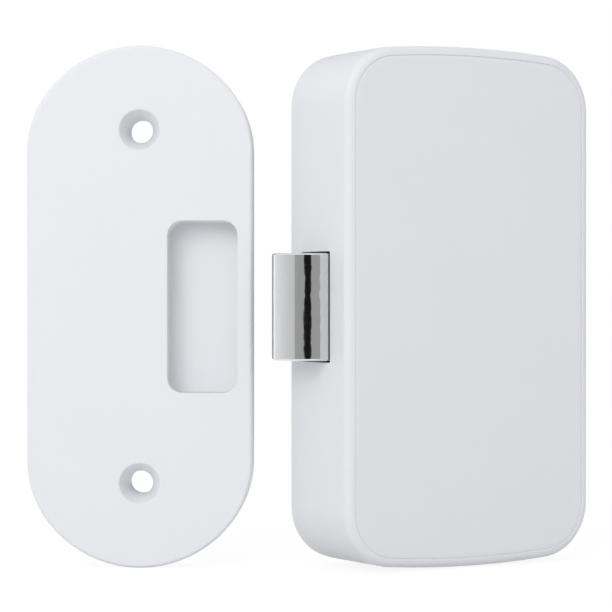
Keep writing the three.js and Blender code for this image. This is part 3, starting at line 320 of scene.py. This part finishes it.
# Finishes
def moulded(name, colour, roughness, grain=0.10 * MM, depth=0.004 * MM):
    """Moulded plastic: a fine spark texture, and faint clouding in tone and gloss."""
    finish = Finish(name)
    cloud = finish.noise(60.0, 3.0)
    texture = finish.noise(1.0 / grain, 2.0)
    finish.set(
        Base_Color=finish.mix(cloud, shade(colour, 0.985), shade(colour, 1.015)),
        Roughness=roughness - 0.04 + 0.08 * texture,
    )
    finish.bump(texture, 0.5, depth)
    return finish.material


def plated(name, colour, roughness, wave, depth):
    """Plated metal: a mirror finish on a slightly wavy casting."""
    finish = Finish(name, Metallic=1.0)
    waves = finish.noise(1.0 / wave, 1.0)
    haze = finish.noise(900.0, 3.0)
    finish.set(
        Base_Color=finish.mix(haze, shade(colour, 0.96), colour),
        Roughness=roughness + 0.05 * haze,
    )
    finish.bump(waves, 1.0, depth)
    return finish.material


def worked_metal(name, colour, roughness, metallic=1.0):
    """Drawn, turned or zinc plated metal with faint mottling."""
    finish = Finish(name, Metallic=metallic)
    mottle = finish.noise(700.0, 4.0)
    fine = finish.noise(6000.0, 2.0)
    finish.set(
        Base_Color=finish.mix(mottle, shade(colour, 0.82), shade(colour, 1.12)),
        Roughness=roughness + 0.16 * mottle - 0.04,
    )
    finish.bump(fine, 0.3, 0.01 * MM)
    return finish.material


finishes = {
    "white_plastic": moulded("white_moulding", WHITE, 0.42),
    # The strike's finish is a lighter copy of the white moulding, with painted light in its colour
    "strike_plastic": moulded("strike_moulding_painted_lighter", STRIKE_WHITE_PAINTED_LIGHTER, 0.40),
    "chrome": plated("chrome_plate", CHROME, 0.03, 2.2 * MM, 0.026 * MM),
    "zinc_steel": worked_metal("zinc_plate", (0.42, 0.43, 0.45), 0.32),
    "steel": worked_metal("bright_steel", (0.5, 0.51, 0.52), 0.24),
    "brass": worked_metal("turned_brass", (0.6, 0.42, 0.14), 0.26),
    "nickel": worked_metal("nickel_plate", (0.52, 0.5, 0.44), 0.24),
    "acetal": moulded("natural_acetal", (0.8, 0.77, 0.68), 0.36),
    "grey_plastic": moulded("grey_moulding", (0.26, 0.28, 0.3), 0.5),
    "dark_plastic": moulded("black_moulding", (0.018, 0.019, 0.021), 0.45),
    "foam": moulded("cell_foam", (0.06, 0.065, 0.07), 0.9, 0.5 * MM, 0.15 * MM),
    "cell_jacket": moulded("cell_jacket", (0.042, 0.068, 0.098), 0.25),
    "board": moulded("solder_mask", (0.012, 0.1, 0.04), 0.35),
    "resin": moulded("chip_resin", (0.012, 0.012, 0.013), 0.5),
    "lens": moulded("clear_lens", (0.85, 0.82, 0.72), 0.15),
    "red_lead": moulded("red_insulation", (0.38, 0.018, 0.014), 0.4),
    "black_lead": moulded("black_insulation", (0.012, 0.012, 0.012), 0.4),
    "ribbon": moulded("ribbon_cable", (0.48, 0.5, 0.52), 0.4),
}
slot_of = {part["node"]: part["material_slot"] for part in frame["record"]["subparts"]}
body_of = {node: body for body, nodes in frame["record"]["behaviour"]["bodies"].items() for node in nodes}
for node_name, node in frame["nodes"].items():
    node.data.materials.clear()
    node.data.materials.append(finishes[slot_of[node_name]])


# Modelling
def quarter_turn(steps):
    """The angles from nought to a right angle."""
    return [math.pi / 2 * step / steps for step in range(steps + 1)]


def start_piece(name, place):
    """A new piece in edit mode, with one selected vertex."""
    bpy.ops.object.select_all(action="DESELECT")
    bpy.ops.mesh.primitive_plane_add(size=MM)
    piece = bpy.context.object
    piece.name = name
    bpy.ops.object.mode_set(mode="EDIT")
    bpy.ops.mesh.select_mode(type="VERT")
    bpy.ops.mesh.select_all(action="SELECT")
    bpy.ops.mesh.merge(type="CENTER")
    bpy.ops.transform.translate(value=place)
    return piece


def draw(points):
    """Extrudes the selected vertex from point to point."""
    for here, there in zip(points, points[1:]):
        bpy.ops.mesh.extrude_vertices_move(TRANSFORM_OT_translate={"value": Vector(there) - Vector(here)})


def close_piece():
    """Joins meeting edges, caps open ends, turns faces outwards and leaves edit mode."""
    bpy.ops.mesh.select_all(action="SELECT")
    bpy.ops.mesh.remove_doubles(threshold=0.001 * MM)
    bpy.ops.mesh.fill_holes(sides=0)
    bpy.ops.mesh.select_all(action="SELECT")
    bpy.ops.mesh.normals_make_consistent(inside=False)
    bpy.ops.object.mode_set(mode="OBJECT")


def sweep_round(name, size, corner, crown_radius, section):
    """A section of (inset, y) points carried round a plate with round corners and crowned ends."""
    half_x, half_z = size
    corner_x = half_x - corner
    rise = math.sqrt((crown_radius - corner) ** 2 - corner_x ** 2)
    crown_z = half_z - crown_radius
    corner_z = crown_z + rise
    tangent = math.atan2(rise, corner_x)
    points = [(half_x - inset, y, corner_z) for inset, y in section]
    piece = start_piece(name, points[0])
    draw(points)
    bpy.ops.mesh.select_all(action="SELECT")
    for side in (1, -1):
        arcs = (
            (corner_x, corner_z, tangent, 16),
            (0, crown_z, math.pi - 2 * tangent, 20),
            (-corner_x, corner_z, tangent, 16),
        )
        for x, z, angle, steps in arcs:
            bpy.ops.mesh.spin(steps=steps, angle=angle, center=(side * x, 0, side * z), axis=(0, 1, 0))
        bpy.ops.mesh.extrude_region_move(TRANSFORM_OT_translate={"value": (0, 0, -2 * side * corner_z)})
    close_piece()
    return piece


def turned(name, profile, centre, axis="Y", steps=48):
    """A turned piece: a profile of (radius, place along the axis) points spun about the axis."""
    along = Vector([float(letter == axis) for letter in "XYZ"])
    out = Vector((0, 0, 1)) if axis == "Y" else Vector((0, 1, 0))
    points = [Vector(centre) + out * radius + along * place for radius, place in profile]
    piece = start_piece(name, points[0])
    draw(points)
    bpy.ops.mesh.select_all(action="SELECT")
    bpy.ops.mesh.spin(steps=steps, angle=2 * math.pi, center=centre, axis=along)
    close_piece()
    return piece


def choose(piece, kind, test):
    """Selects what passes a test among the piece's vertices, edges or faces, in edit mode."""
    bpy.ops.mesh.select_mode(type=kind)
    bpy.ops.mesh.select_all(action="DESELECT")
    mesh = bmesh.from_edit_mesh(piece.data)
    for item in {"VERT": mesh.verts, "EDGE": mesh.edges, "FACE": mesh.faces}[kind]:
        if test(item):
            item.select_set(True)
    mesh.select_flush_mode()
    bmesh.update_edit_mesh(piece.data)


def block(name, low, high, corner_axis="Y", corner=0.0, steps=8):
    """A box between two corners, with its edges along one axis rounded."""
    low = Vector(low)
    high = Vector(high)
    bpy.ops.object.select_all(action="DESELECT")
    bpy.ops.mesh.primitive_cube_add(size=1, location=(low + high) / 2, scale=high - low)
    bpy.ops.object.transform_apply(location=True, rotation=True, scale=True)
    piece = bpy.context.object
    piece.name = name
    if corner:
        column = "XYZ".index(corner_axis)

        def runs_along(edge):
            way = edge.verts[1].co - edge.verts[0].co
            return abs(way[column]) > 0.99 * way.length

        bpy.ops.object.mode_set(mode="EDIT")
        choose(piece, "EDGE", runs_along)
        bpy.ops.mesh.bevel(offset=corner, segments=steps)
        bpy.ops.object.mode_set(mode="OBJECT")
    return piece


def make_active(piece):
    bpy.ops.object.select_all(action="DESELECT")
    piece.select_set(True)
    bpy.context.view_layer.objects.active = piece


def apply_modifier(piece, kind, **settings):
    make_active(piece)
    modifier = piece.modifiers.new(kind.lower(), kind)
    for name, value in settings.items():
        setattr(modifier, name, value)
    bpy.ops.object.modifier_apply(modifier=modifier.name)


def combine(piece, operation, *tools):
    """Cuts or joins the piece with tools, which are then removed."""
    for tool in tools:
        apply_modifier(piece, "BOOLEAN", operation=operation, solver="EXACT", object=tool)
        bpy.data.objects.remove(tool)


def soften(piece, width, segments=3, limit=35):
    """Rounds the sharp edges and smooths the shading."""
    if width:
        apply_modifier(
            piece, "BEVEL", width=width, segments=segments, limit_method="ANGLE",
            angle_limit=math.radians(limit), harden_normals=False,
        )
    make_active(piece)
    bpy.ops.object.shade_smooth_by_angle(angle=math.radians(limit))
    apply_modifier(piece, "WEIGHTED_NORMAL", keep_sharp=True, weight=80)


def fit(piece, body, slot, *nodes):
    """Gives a piece its finish, its body and the solids that it stands for."""
    piece.data.materials.clear()
    piece.data.materials.append(finishes[slot])
    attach(piece, body)
    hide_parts(*nodes)
    return piece


def copy_solid(name, node, whole_faces=True):
    """A new piece from a solid's mesh, with its loose triangles merged."""
    piece = bpy.data.objects.new(name, frame["nodes"][node].data.copy())
    bpy.context.scene.collection.objects.link(piece)
    make_active(piece)
    bpy.ops.mesh.customdata_custom_splitnormals_clear()
    bpy.ops.object.mode_set(mode="EDIT")
    bpy.ops.mesh.select_all(action="SELECT")
    bpy.ops.mesh.remove_doubles(threshold=0.0005 * MM)
    if whole_faces:
        bpy.ops.mesh.dissolve_limited(angle_limit=math.radians(1))
    else:
        bpy.ops.mesh.tris_convert_to_quads()
    bpy.ops.object.mode_set(mode="OBJECT")
    return piece


def dress(node, width, segments=2, limit=32):
    """Stands a copy with rounded edges in for a solid."""
    piece = copy_solid(node + "_finished", node)
    soften(piece, width, segments, limit)
    return fit(piece, body_of[node], slot_of[node], node)


def countersunk(name, centre, hole, sink, depth, slope):
    """A cutting tool for a countersunk hole that opens towards the front."""
    over = MM
    mouth = sink + (sink - hole) / slope * over
    profile = [(0, depth + over), (hole, depth + over), (hole, slope), (mouth, -over), (0, -over)]
    return turned(name, profile, centre)


def case_sweep(name, section):
    """A section carried round the case's outline."""
    return sweep_round(name, (half_width, half_height), CORNER_RADIUS, case_crown_radius, section)


# Case
def housing():
    """The case's shell, with a ledge for the cover and an opening for the bolt."""
    rim = FRONT_FILLET
    section = [(WALL, back_y), (BACK_FILLET, back_y), (0, back_y - BACK_FILLET)]
    for angle in quarter_turn(10):
        section.append((rim - rim * math.cos(angle), front_y + rim - rim * math.sin(angle)))
    section += [(WALL, front_y + RIM_DIP)]
    section += [(WALL, cover_back), (WALL + LEDGE_WIDTH, cover_back)]
    section += [(WALL + LEDGE_WIDTH, cover_back + LEDGE_THICKNESS), (WALL, cover_back + LEDGE_THICKNESS)]
    section += [(WALL, floor_y)]
    shell = case_sweep("case_shell", section)
    high = BOLT_HEIGHT / 2 + OPENING_GAP
    low_corner = (case_low.x - MM, bolt_low.y - OPENING_SIDE, -high)
    high_corner = (case_low.x + WALL + MM, bolt_high.y + OPENING_SIDE, high)
    combine(shell, "DIFFERENCE", block("opening_tool", low_corner, high_corner, "X", OPENING_CORNER))
    soften(shell, 0)
    return fit(shell, "case", "white_plastic", "housing")


def front_cover():
    """The cover, whose face rounds down into the groove, with a lip behind it."""
    edge = WALL + COVER_GAP
    section = [(LIP_INSET + LIP_WIDTH, cover_back), (LIP_INSET + LIP_WIDTH, cover_back + LIP_HEIGHT)]
    section += [(LIP_INSET, cover_back + LIP_HEIGHT), (LIP_INSET, cover_back), (edge, cover_back)]
    for angle in quarter_turn(10):
        inset = edge + COVER_SHOULDER * (1 - math.cos(angle))
        section.append((inset, front_y + COVER_DROP * (1 - math.sin(angle))))
    cover = case_sweep("cover_plate", section)
    soften(cover, 0)
    return fit(cover, "cover", "white_plastic", "front_cover")


def mounting_plate():
    """The plate that is screwed to the door, with four countersunk holes."""
    section = [(PLATE_INSET + PLATE_EDGE, plate_high.y), (PLATE_INSET, plate_high.y - PLATE_EDGE)]
    section += [(PLATE_INSET, plate_low.y)]
    plate = case_sweep("door_plate", section)
    depth = plate_high.y - plate_low.y
    slope = DOOR_SINK - DOOR_HOLE
    tools = []
    for x in (-DOOR_HOLE_X, DOOR_HOLE_X):
        for z in (-DOOR_HOLE_Z, DOOR_HOLE_Z):
            centre = (x, plate_low.y, z)
            tools.append(countersunk("hole_tool", centre, DOOR_HOLE, DOOR_SINK, depth, slope))
    combine(plate, "DIFFERENCE", *tools)
    soften(plate, 0)
    return fit(plate, "case", "white_plastic", "mounting_plate")


def latch_bolt():
    """The bolt: a crowned end, a curved nose, two ears that the carriage pulls and a bore for the spring."""
    tip = bolt_low.x
    crease = tip + BOLT_END_SLANT
    nose = []
    for step in range(NOSE_STEPS + 1):
        share = step / NOSE_STEPS
        x = crease + (case_low.x - crease) * share
        nose.append((x, bolt_low.y + BOLT_NOSE * (1 - share) ** 2, 0))
    end_back = Vector((tip, bolt_high.y - BOLT_CHAMFER_DEPTH, 0))
    end_front = Vector(nose[0])
    end = []
    for step in range(END_STEPS):
        share = step / END_STEPS
        rise = 4 * BOLT_END_CROWN * share * (1 - share)
        end.append(end_back.lerp(end_front, share) + Vector((-rise, 0, 0)))
    points = [(bolt_high.x, bolt_high.y, 0), (tip + BOLT_CHAMFER, bolt_high.y, 0)]
    points += [*end, *nose, (bolt_high.x, bolt_low.y, 0)]
    bolt = start_piece("bolt_body", points[0])
    draw(points)
    bpy.ops.mesh.select_all(action="SELECT")
    bpy.ops.mesh.edge_face_add()
    bpy.ops.transform.translate(value=(0, 0, -BOLT_HEIGHT / 2))
    bpy.ops.mesh.extrude_region_move(TRANSFORM_OT_translate={"value": (0, 0, BOLT_HEIGHT)})
    close_piece()
    for side in (1, -1):
        ear_ends = sorted((side * (BOLT_HEIGHT / 2 - SLACK), side * bolt_high.z))
        low = (bolt_high.x - EAR_LENGTH, carriage_low.y + SEAT, ear_ends[0])
        high = (bolt_high.x, carriage_high.y - SEAT, ear_ends[1])
        combine(bolt, "UNION", block("ear_tool", low, high))
    middle_y = (spring_low.y + spring_high.y) / 2
    bore = [(0, -BORE_DEPTH), (SPRING_BORE, -BORE_DEPTH), (SPRING_BORE, MM), (0, MM)]
    combine(bolt, "DIFFERENCE", turned("bore_tool", bore, (bolt_high.x, middle_y, 0), "X"))
    soften(bolt, BOLT_EDGE, segments=5, limit=24)
    return fit(bolt, "bolt", "chrome", "latch_bolt")


def strike_plate():
    """The plate for the door frame, made lying at the origin and then turned to its mount."""
    section = [(STRIKE_EDGE / 2, STRIKE_THICKNESS), (0, STRIKE_THICKNESS - STRIKE_EDGE / 2)]
    for angle in quarter_turn(8):
        inset = STRIKE_EDGE * (1 - math.cos(angle))
        section.append((inset, STRIKE_EDGE * (1 - math.sin(angle))))
    size = (STRIKE_WIDTH / 2, STRIKE_HEIGHT / 2)
    strike = sweep_round("strike_body", size, STRIKE_CORNER, STRIKE_CROWN_RADIUS, section)
    low = (POCKET_X - POCKET_WIDTH / 2, -MM, -POCKET_HEIGHT / 2)
    high = (POCKET_X + POCKET_WIDTH / 2, POCKET_DEPTH, POCKET_HEIGHT / 2)
    combine(strike, "DIFFERENCE", block("pocket_tool", low, high, "Y", POCKET_RADIUS))
    for z in (-STRIKE_HOLE_Z, STRIKE_HOLE_Z):
        centre = (0, 0, z)
        depth = STRIKE_THICKNESS
        tool = countersunk("hole_tool", centre, STRIKE_HOLE, STRIKE_SINK, depth, STRIKE_SINK_DEPTH)
        combine(strike, "DIFFERENCE", tool)
    soften(strike, RIM_ROUND)
    make_active(strike)
    strike.rotation_euler.z = -math.atan2(strike_out.x, strike_out.y)
    strike.location = strike_back - strike_out * STRIKE_THICKNESS
    bpy.ops.object.transform_apply(location=True, rotation=True, scale=False)
    # The bolt in the photo doesn't mirror the strike
    strike.visible_glossy = False
    return fit(strike, "case", "strike_plastic", "strike_plate")


def case_bosses():
    """The posts, rails and guides that stand on the case's floor."""
    bosses = copy_solid("case_bosses", "housing")
    inset = WALL + BOSS_CLEARANCE
    front = cover_back + LEDGE_THICKNESS + BOSS_CLEARANCE
    inside = case_sweep("inside_tool", [(inset, floor_y - BOSS_CLEARANCE / 2), (inset, front)])
    combine(bosses, "INTERSECT", inside)
    soften(bosses, BOSS_EDGE, segments=2)
    return fit(bosses, "case", "white_plastic")


housing()
case_bosses()
front_cover()
mounting_plate()
latch_bolt()
strike_plate()


# Mechanism, boards and battery tray: copies of the solids with their edges rounded
for solid, rounding in EDGES.items():
    dress(solid, rounding * MM)


def lead(node):
    """A smooth insulated lead along its solid's route."""
    piece = copy_solid(node + "_wire", node, whole_faces=False)
    apply_modifier(piece, "SUBSURF", levels=2, render_levels=2)
    bpy.ops.object.mode_set(mode="EDIT")
    bpy.ops.mesh.select_all(action="SELECT")
    bpy.ops.transform.shrink_fatten(value=LEAD_SWELL)
    bpy.ops.object.mode_set(mode="OBJECT")
    soften(piece, 0)
    return fit(piece, "case", slot_of[node], node)


for name in ("motor_lead_1", "motor_lead_2", "battery_lead_1", "battery_lead_2"):
    lead(name)


def coil(name, radius, wire, turns, length, axis):
    """A wound spring about the origin's X or Z axis, starting at the origin."""
    bpy.ops.object.select_all(action="DESELECT")
    turn = (0, 0, 0) if axis == "X" else (math.pi / 2, 0, 0)
    place = (0, radius, 0) if axis == "X" else (radius, 0, 0)
    bpy.ops.mesh.primitive_circle_add(vertices=10, radius=wire, location=place, rotation=turn)
    bpy.ops.object.transform_apply(location=True, rotation=True, scale=True)
    spring = bpy.context.object
    spring.name = name
    apply_modifier(
        spring, "SCREW", axis=axis, angle=2 * math.pi, iterations=turns, screw_offset=length / turns,
        steps=28, render_steps=28, use_merge_vertices=False,
    )
    bpy.ops.object.mode_set(mode="EDIT")
    close_piece()
    return spring


def move_mesh(piece, way):
    """Moves the mesh and leaves the piece's own place at the origin."""
    make_active(piece)
    piece.location = way
    bpy.ops.object.transform_apply(location=True, rotation=False, scale=False)


def bolt_spring():
    """The spring behind the bolt, wound at its solid's full length."""
    outside = (spring_high.z - spring_low.z) / 2
    length = spring_high.x - spring_low.x
    radius = outside - SPRING_WIRE
    wound = length - 2 * SPRING_WIRE
    spring = coil("bolt_return_spring", radius, SPRING_WIRE, SPRING_TURNS, wound, "X")
    middle_y = (spring_low.y + spring_high.y) / 2
    move_mesh(spring, (spring_low.x + SPRING_WIRE, middle_y, 0))
    soften(spring, 0)
    fit(spring, "carriage", "steel", "bolt_spring")
    travel = max(joints["bolt_slide"]["range_m"])
    1 - travel / length
    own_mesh(spring)


bolt_spring()


def sprung_contact(node, cell_node, tab):
    """A nickel plate with a coil that presses on a cell's end; the lower plate also has a solder tab."""
    low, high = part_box(node)
    cell_low, cell_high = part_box(cell_node)
    middle = (cell_low + cell_high) / 2
    seat = low.z + CONTACT_TAB + TRAY_WALL if tab else high.z - CONTACT
    plate = block(node + "_plate", (low.x, low.y, seat), (high.x, high.y, seat + CONTACT))
    if tab:
        half = CONTACT_TAB / 2
        low_corner = (middle.x - half, middle.y - CONTACT / 2, low.z)
        high_corner = (middle.x + half, middle.y + CONTACT / 2, seat + CONTACT / 2)
        combine(plate, "UNION", block("tab_tool", low_corner, high_corner))
    soften(plate, CONTACT_EDGE, segments=2)
    fit(plate, "case", "nickel", node)
    start = seat + CONTACT if tab else cell_high.z
    length = cell_low.z - start if tab else seat - start
    wound = length - 2 * CONTACT_WIRE
    spring = coil(node + "_coil", CONTACT_RADIUS, CONTACT_WIRE, CONTACT_TURNS, wound, "Z")
    move_mesh(spring, (middle.x, middle.y, start + CONTACT_WIRE))
    soften(spring, 0)
    fit(spring, "case", "nickel")


sprung_contact("contact_negative", "cell_1", True)
sprung_contact("contact_bridge", "cell_2", False)


def screw_head(name):
    """A pan head with a cross recess at the origin, and a short shank behind it."""
    profile = [(0, 0)]
    for angle in quarter_turn(6):
        out = SCREW_HEAD - SCREW_DOME * (1 - math.sin(angle))
        profile.append((out, SCREW_DOME * (1 - math.cos(angle))))
    profile += [(SCREW_HEAD, SCREW_HEAD_HEIGHT), (SCREW_SHANK, SCREW_HEAD_HEIGHT)]
    profile += [(SCREW_SHANK, SCREW_HEAD_HEIGHT + SCREW_SHANK)]
    profile += [(0, SCREW_HEAD_HEIGHT + 2 * SCREW_SHANK)]
    head = turned(name, profile, (0, 0, 0), steps=36)
    for across, tall in ((CROSS_LENGTH, CROSS_WIDTH), (CROSS_WIDTH, CROSS_LENGTH)):
        low = (-across / 2, -MM, -tall / 2)
        high = (across / 2, CROSS_DEPTH, tall / 2)
        combine(head, "DIFFERENCE", block("cross_tool", low, high))
    soften(head, SCREW_EDGE, segments=2, limit=40)
    return head


def screws():
    """Copies of one screw, each with its solid's length."""
    pattern = screw_head("screw_pattern")
    for node in [name for name in slot_of if "_screw" in name]:
        low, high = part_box(node)
        piece = bpy.data.objects.new(node + "_finished", pattern.data.copy())
        bpy.context.scene.collection.objects.link(piece)
        make_active(piece)
        bpy.ops.object.mode_set(mode="EDIT")
        choose(piece, "VERT", lambda vertex: vertex.co.y > SCREW_HEAD_HEIGHT + SCREW_SHANK / 2)
        longer = high.y - low.y - SCREW_HEAD_HEIGHT - 2 * SCREW_SHANK
        bpy.ops.transform.translate(value=(0, longer, 0))
        bpy.ops.object.mode_set(mode="OBJECT")
        move_mesh(piece, ((low.x + high.x) / 2, low.y, (low.z + high.z) / 2))
        fit(piece, "case", slot_of[node], node)
    bpy.data.objects.remove(pattern)


screws()


def cell(node, nub_up):
    """A cell: a metal can with a raised contact, in a plastic jacket that curls over both ends."""
    low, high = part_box(node)
    middle = ((low.x + high.x) / 2, (low.y + high.y) / 2)
    length = high.z - low.z
    radius = (high.x - low.x) / 2
    shoulder = length - CELL_NUB
    can = [
        (0, CELL_DISH), (CELL_DISH_RADIUS, CELL_DISH), (CELL_END, 0),
        (radius - 2 * JACKET, 0), (radius - JACKET, JACKET),
        (radius - JACKET, shoulder - JACKET), (radius - 3 * JACKET, shoulder),
        (CELL_NUB_RADIUS + JACKET, shoulder), (CELL_NUB_RADIUS, shoulder + JACKET),
        (CELL_NUB_RADIUS, length - JACKET), (CELL_NUB_RADIUS - JACKET, length), (0, length),
    ]
    jacket = [
        (radius - JACKET, JACKET_FOOT), (radius, JACKET_ROUND), (radius, shoulder - JACKET_ROUND),
        (radius - JACKET, shoulder - JACKET_FOOT / 5), (radius - JACKET_CURL, shoulder + JACKET_LIP),
        (radius - JACKET_CURL, shoulder - JACKET_FOOT), (radius - 2 * JACKET, shoulder - 2 * JACKET_FOOT),
        (radius - 2 * JACKET, 3 * JACKET_FOOT), (radius - JACKET, JACKET_FOOT),
    ]
    pieces = []
    for name, profile in (("_can", can), ("_jacket", jacket)):
        if not nub_up:
            profile = [(out, length - along) for out, along in profile]
        piece = turned(node + name, profile, (*middle, low.z), "Z", 64)
        soften(piece, 0)
        pieces.append(piece)
    fit(pieces[0], "case", "nickel")
    fit(pieces[1], "case", "cell_jacket", node)


cell("cell_1", True)
cell("cell_2", False)


def battery_pad():
    """The foam pad that holds the cells when the cover is on."""
    low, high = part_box("battery_pad")
    pad = block("cell_pad", low, high, "Y", PAD_CORNER)
    soften(pad, PAD_EDGE)
    fit(pad, "cover", "foam", "battery_pad")


battery_pad()


def rounded_top(radius, height, edge, steps=5):
    """A turned profile of (radius, height) points, from the board up to a rounded rim."""
    points = [(0, 0), (radius, 0)]
    for angle in quarter_turn(steps):
        points.append((radius - edge * (1 - math.cos(angle)), height - edge * (1 - math.sin(angle))))
    return points


def round_part(node, edge, top):
    """A turned part on the board; its top is a list of (radius, depth below its face) points."""
    low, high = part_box(node)
    centre = ((low.x + high.x) / 2, high.y, (low.z + high.z) / 2)
    height = high.y - low.y
    profile = rounded_top((high.x - low.x) / 2, height, edge)
    profile += [(radius, height - depth) for radius, depth in top]
    piece = turned(node + "_finished", [(radius, -up) for radius, up in profile], centre, "Y", 40)
    soften(piece, 0)
    fit(piece, body_of[node], slot_of[node], node)


for name, (rim_radius, top_points) in TURNED_PARTS.items():
    round_part(name, rim_radius * MM, [(radius * MM, depth * MM) for radius, depth in top_points])


# Stage
def card_finish(name, right, left):
    """A surface that only gives light of its own, shading from its right edge to its left one."""
    finish = Finish(name)
    tree = finish.tree
    tree.nodes.remove(finish.surface)
    across = finish.add("ShaderNodeSeparateXYZ", {}, {0: finish.add("ShaderNodeTexCoord", output=0)})
    ramp = finish.add("ShaderNodeValToRGB", {"stops": [(0.0, left), (1.0, right)]}, {0: across})
    glow = finish.add("ShaderNodeEmission", {}, {"Color": ramp, "Strength": 1.0})
    tree.links.new(glow.socket, tree.nodes["Material Output"].inputs["Surface"])
    return finish.material


def card(name, bearing, width, right, left, distance, height):
    """A flat card that only mirrors see; its bearing runs leftwards from straight ahead of the bolt."""
    angle = math.radians(bearing)
    way = Vector((-math.sin(angle), -math.cos(angle), 0))
    span = 2 * distance * math.tan(math.radians(width) / 2)
    bpy.ops.object.select_all(action="DESELECT")
    centre = Vector((case_low.x, bolt_low.y, 0)) + way * distance
    bpy.ops.mesh.primitive_plane_add(size=1, location=centre, rotation=(math.pi / 2, 0, -angle))
    sheet = bpy.context.object
    sheet.name = name
    sheet.scale = (span, height, 1)
    sheet.data.materials.append(card_finish(name, right, left))
    sheet.visible_camera = False
    sheet.visible_diffuse = False
    sheet.visible_transmission = False
    sheet.visible_shadow = False


for name, values in CARDS.items():
    card(name, *values)


def floor():
    """Pale paper that keeps the object's shadow and glows towards the background's white."""
    bpy.ops.object.select_all(action="DESELECT")
    bpy.ops.mesh.primitive_plane_add(size=FLOOR_SIZE, location=(0, 0, min(cad_low.z, case_low.z)))
    ground = bpy.context.object
    ground.name = "floor"
    finish = Finish("floor_paper", Base_Color=(FLOOR_TONE, FLOOR_TONE, FLOOR_TONE, 1.0), Roughness=1.0)
    tree = finish.tree
    path = tree.nodes.new("ShaderNodeLightPath")
    glow = tree.nodes.new("ShaderNodeEmission")
    glow.inputs["Strength"].default_value = FLOOR_GLOW
    blend = tree.nodes.new("ShaderNodeMixShader")
    rays = [Value(finish, path.outputs[kind]) for kind in ("Is Camera Ray", "Is Glossy Ray")]
    seen = finish.add("ShaderNodeMath", {"operation": "MAXIMUM"}, {0: rays[0], 1: rays[1]})
    finish.feed(blend.inputs[0], seen * FLOOR_GLOW_SHARE)
    tree.links.new(finish.surface.outputs[0], blend.inputs[1])
    tree.links.new(glow.outputs[0], blend.inputs[2])
    tree.links.new(blend.outputs[0], tree.nodes["Material Output"].inputs["Surface"])
    ground.data.materials.append(finish.material)


floor()


def lamp(name, place, target, size, power):
    """A soft round lamp that mirrors don't show."""
    light = bpy.data.lights.new(name, "AREA")
    light.shape = "DISK"
    light.size = size
    light.energy = power
    holder = bpy.data.objects.new(name, light)
    bpy.context.scene.collection.objects.link(holder)
    holder.location = place
    holder.rotation_euler = (Vector(target) - Vector(place)).to_track_quat("-Z", "Y").to_euler()
    holder.visible_glossy = False


lamp("key_lamp", KEY_LAMP_PLACE, (0, 0, 0), KEY_LAMP_SIZE, KEY_LAMP_POWER)


def sky():
    """White all round, with a lower level where it lights the object."""
    world = bpy.data.worlds.new("studio")
    bpy.context.scene.world = world
    world.use_nodes = True
    tree = world.node_tree
    background = tree.nodes["Background"]
    background.inputs["Color"].default_value = (1.0, 1.0, 1.0, 1.0)
    path = tree.nodes.new("ShaderNodeLightPath")
    seen = tree.nodes.new("ShaderNodeMath")
    seen.operation = "MAXIMUM"
    tree.links.new(path.outputs["Is Camera Ray"], seen.inputs[0])
    tree.links.new(path.outputs["Is Glossy Ray"], seen.inputs[1])
    level = tree.nodes.new("ShaderNodeMapRange")
    level.inputs["To Min"].default_value = SKY_LEVEL
    level.inputs["To Max"].default_value = 1.0
    tree.links.new(seen.outputs[0], level.inputs["Value"])
    tree.links.new(level.outputs[0], background.inputs["Strength"])


sky()


def camera():
    """The photo's viewpoint."""
    eye = bpy.data.cameras.new("photo_view")
    eye.lens = CAMERA_LENS
    eye.sensor_width = CAMERA_SENSOR
    eye.clip_start = 0.01
    holder = bpy.data.objects.new("photo_view", eye)
    bpy.context.scene.collection.objects.link(holder)
    ahead = Vector((math.sin(CAMERA_YAW), math.cos(CAMERA_YAW), math.tan(CAMERA_PITCH)))
    holder.location = CAMERA_PLACE
    holder.rotation_euler = ahead.to_track_quat("-Z", "Y").to_euler()
    bpy.context.scene.camera = holder


camera()
bpy.context.scene.view_settings.view_transform = "Standard"
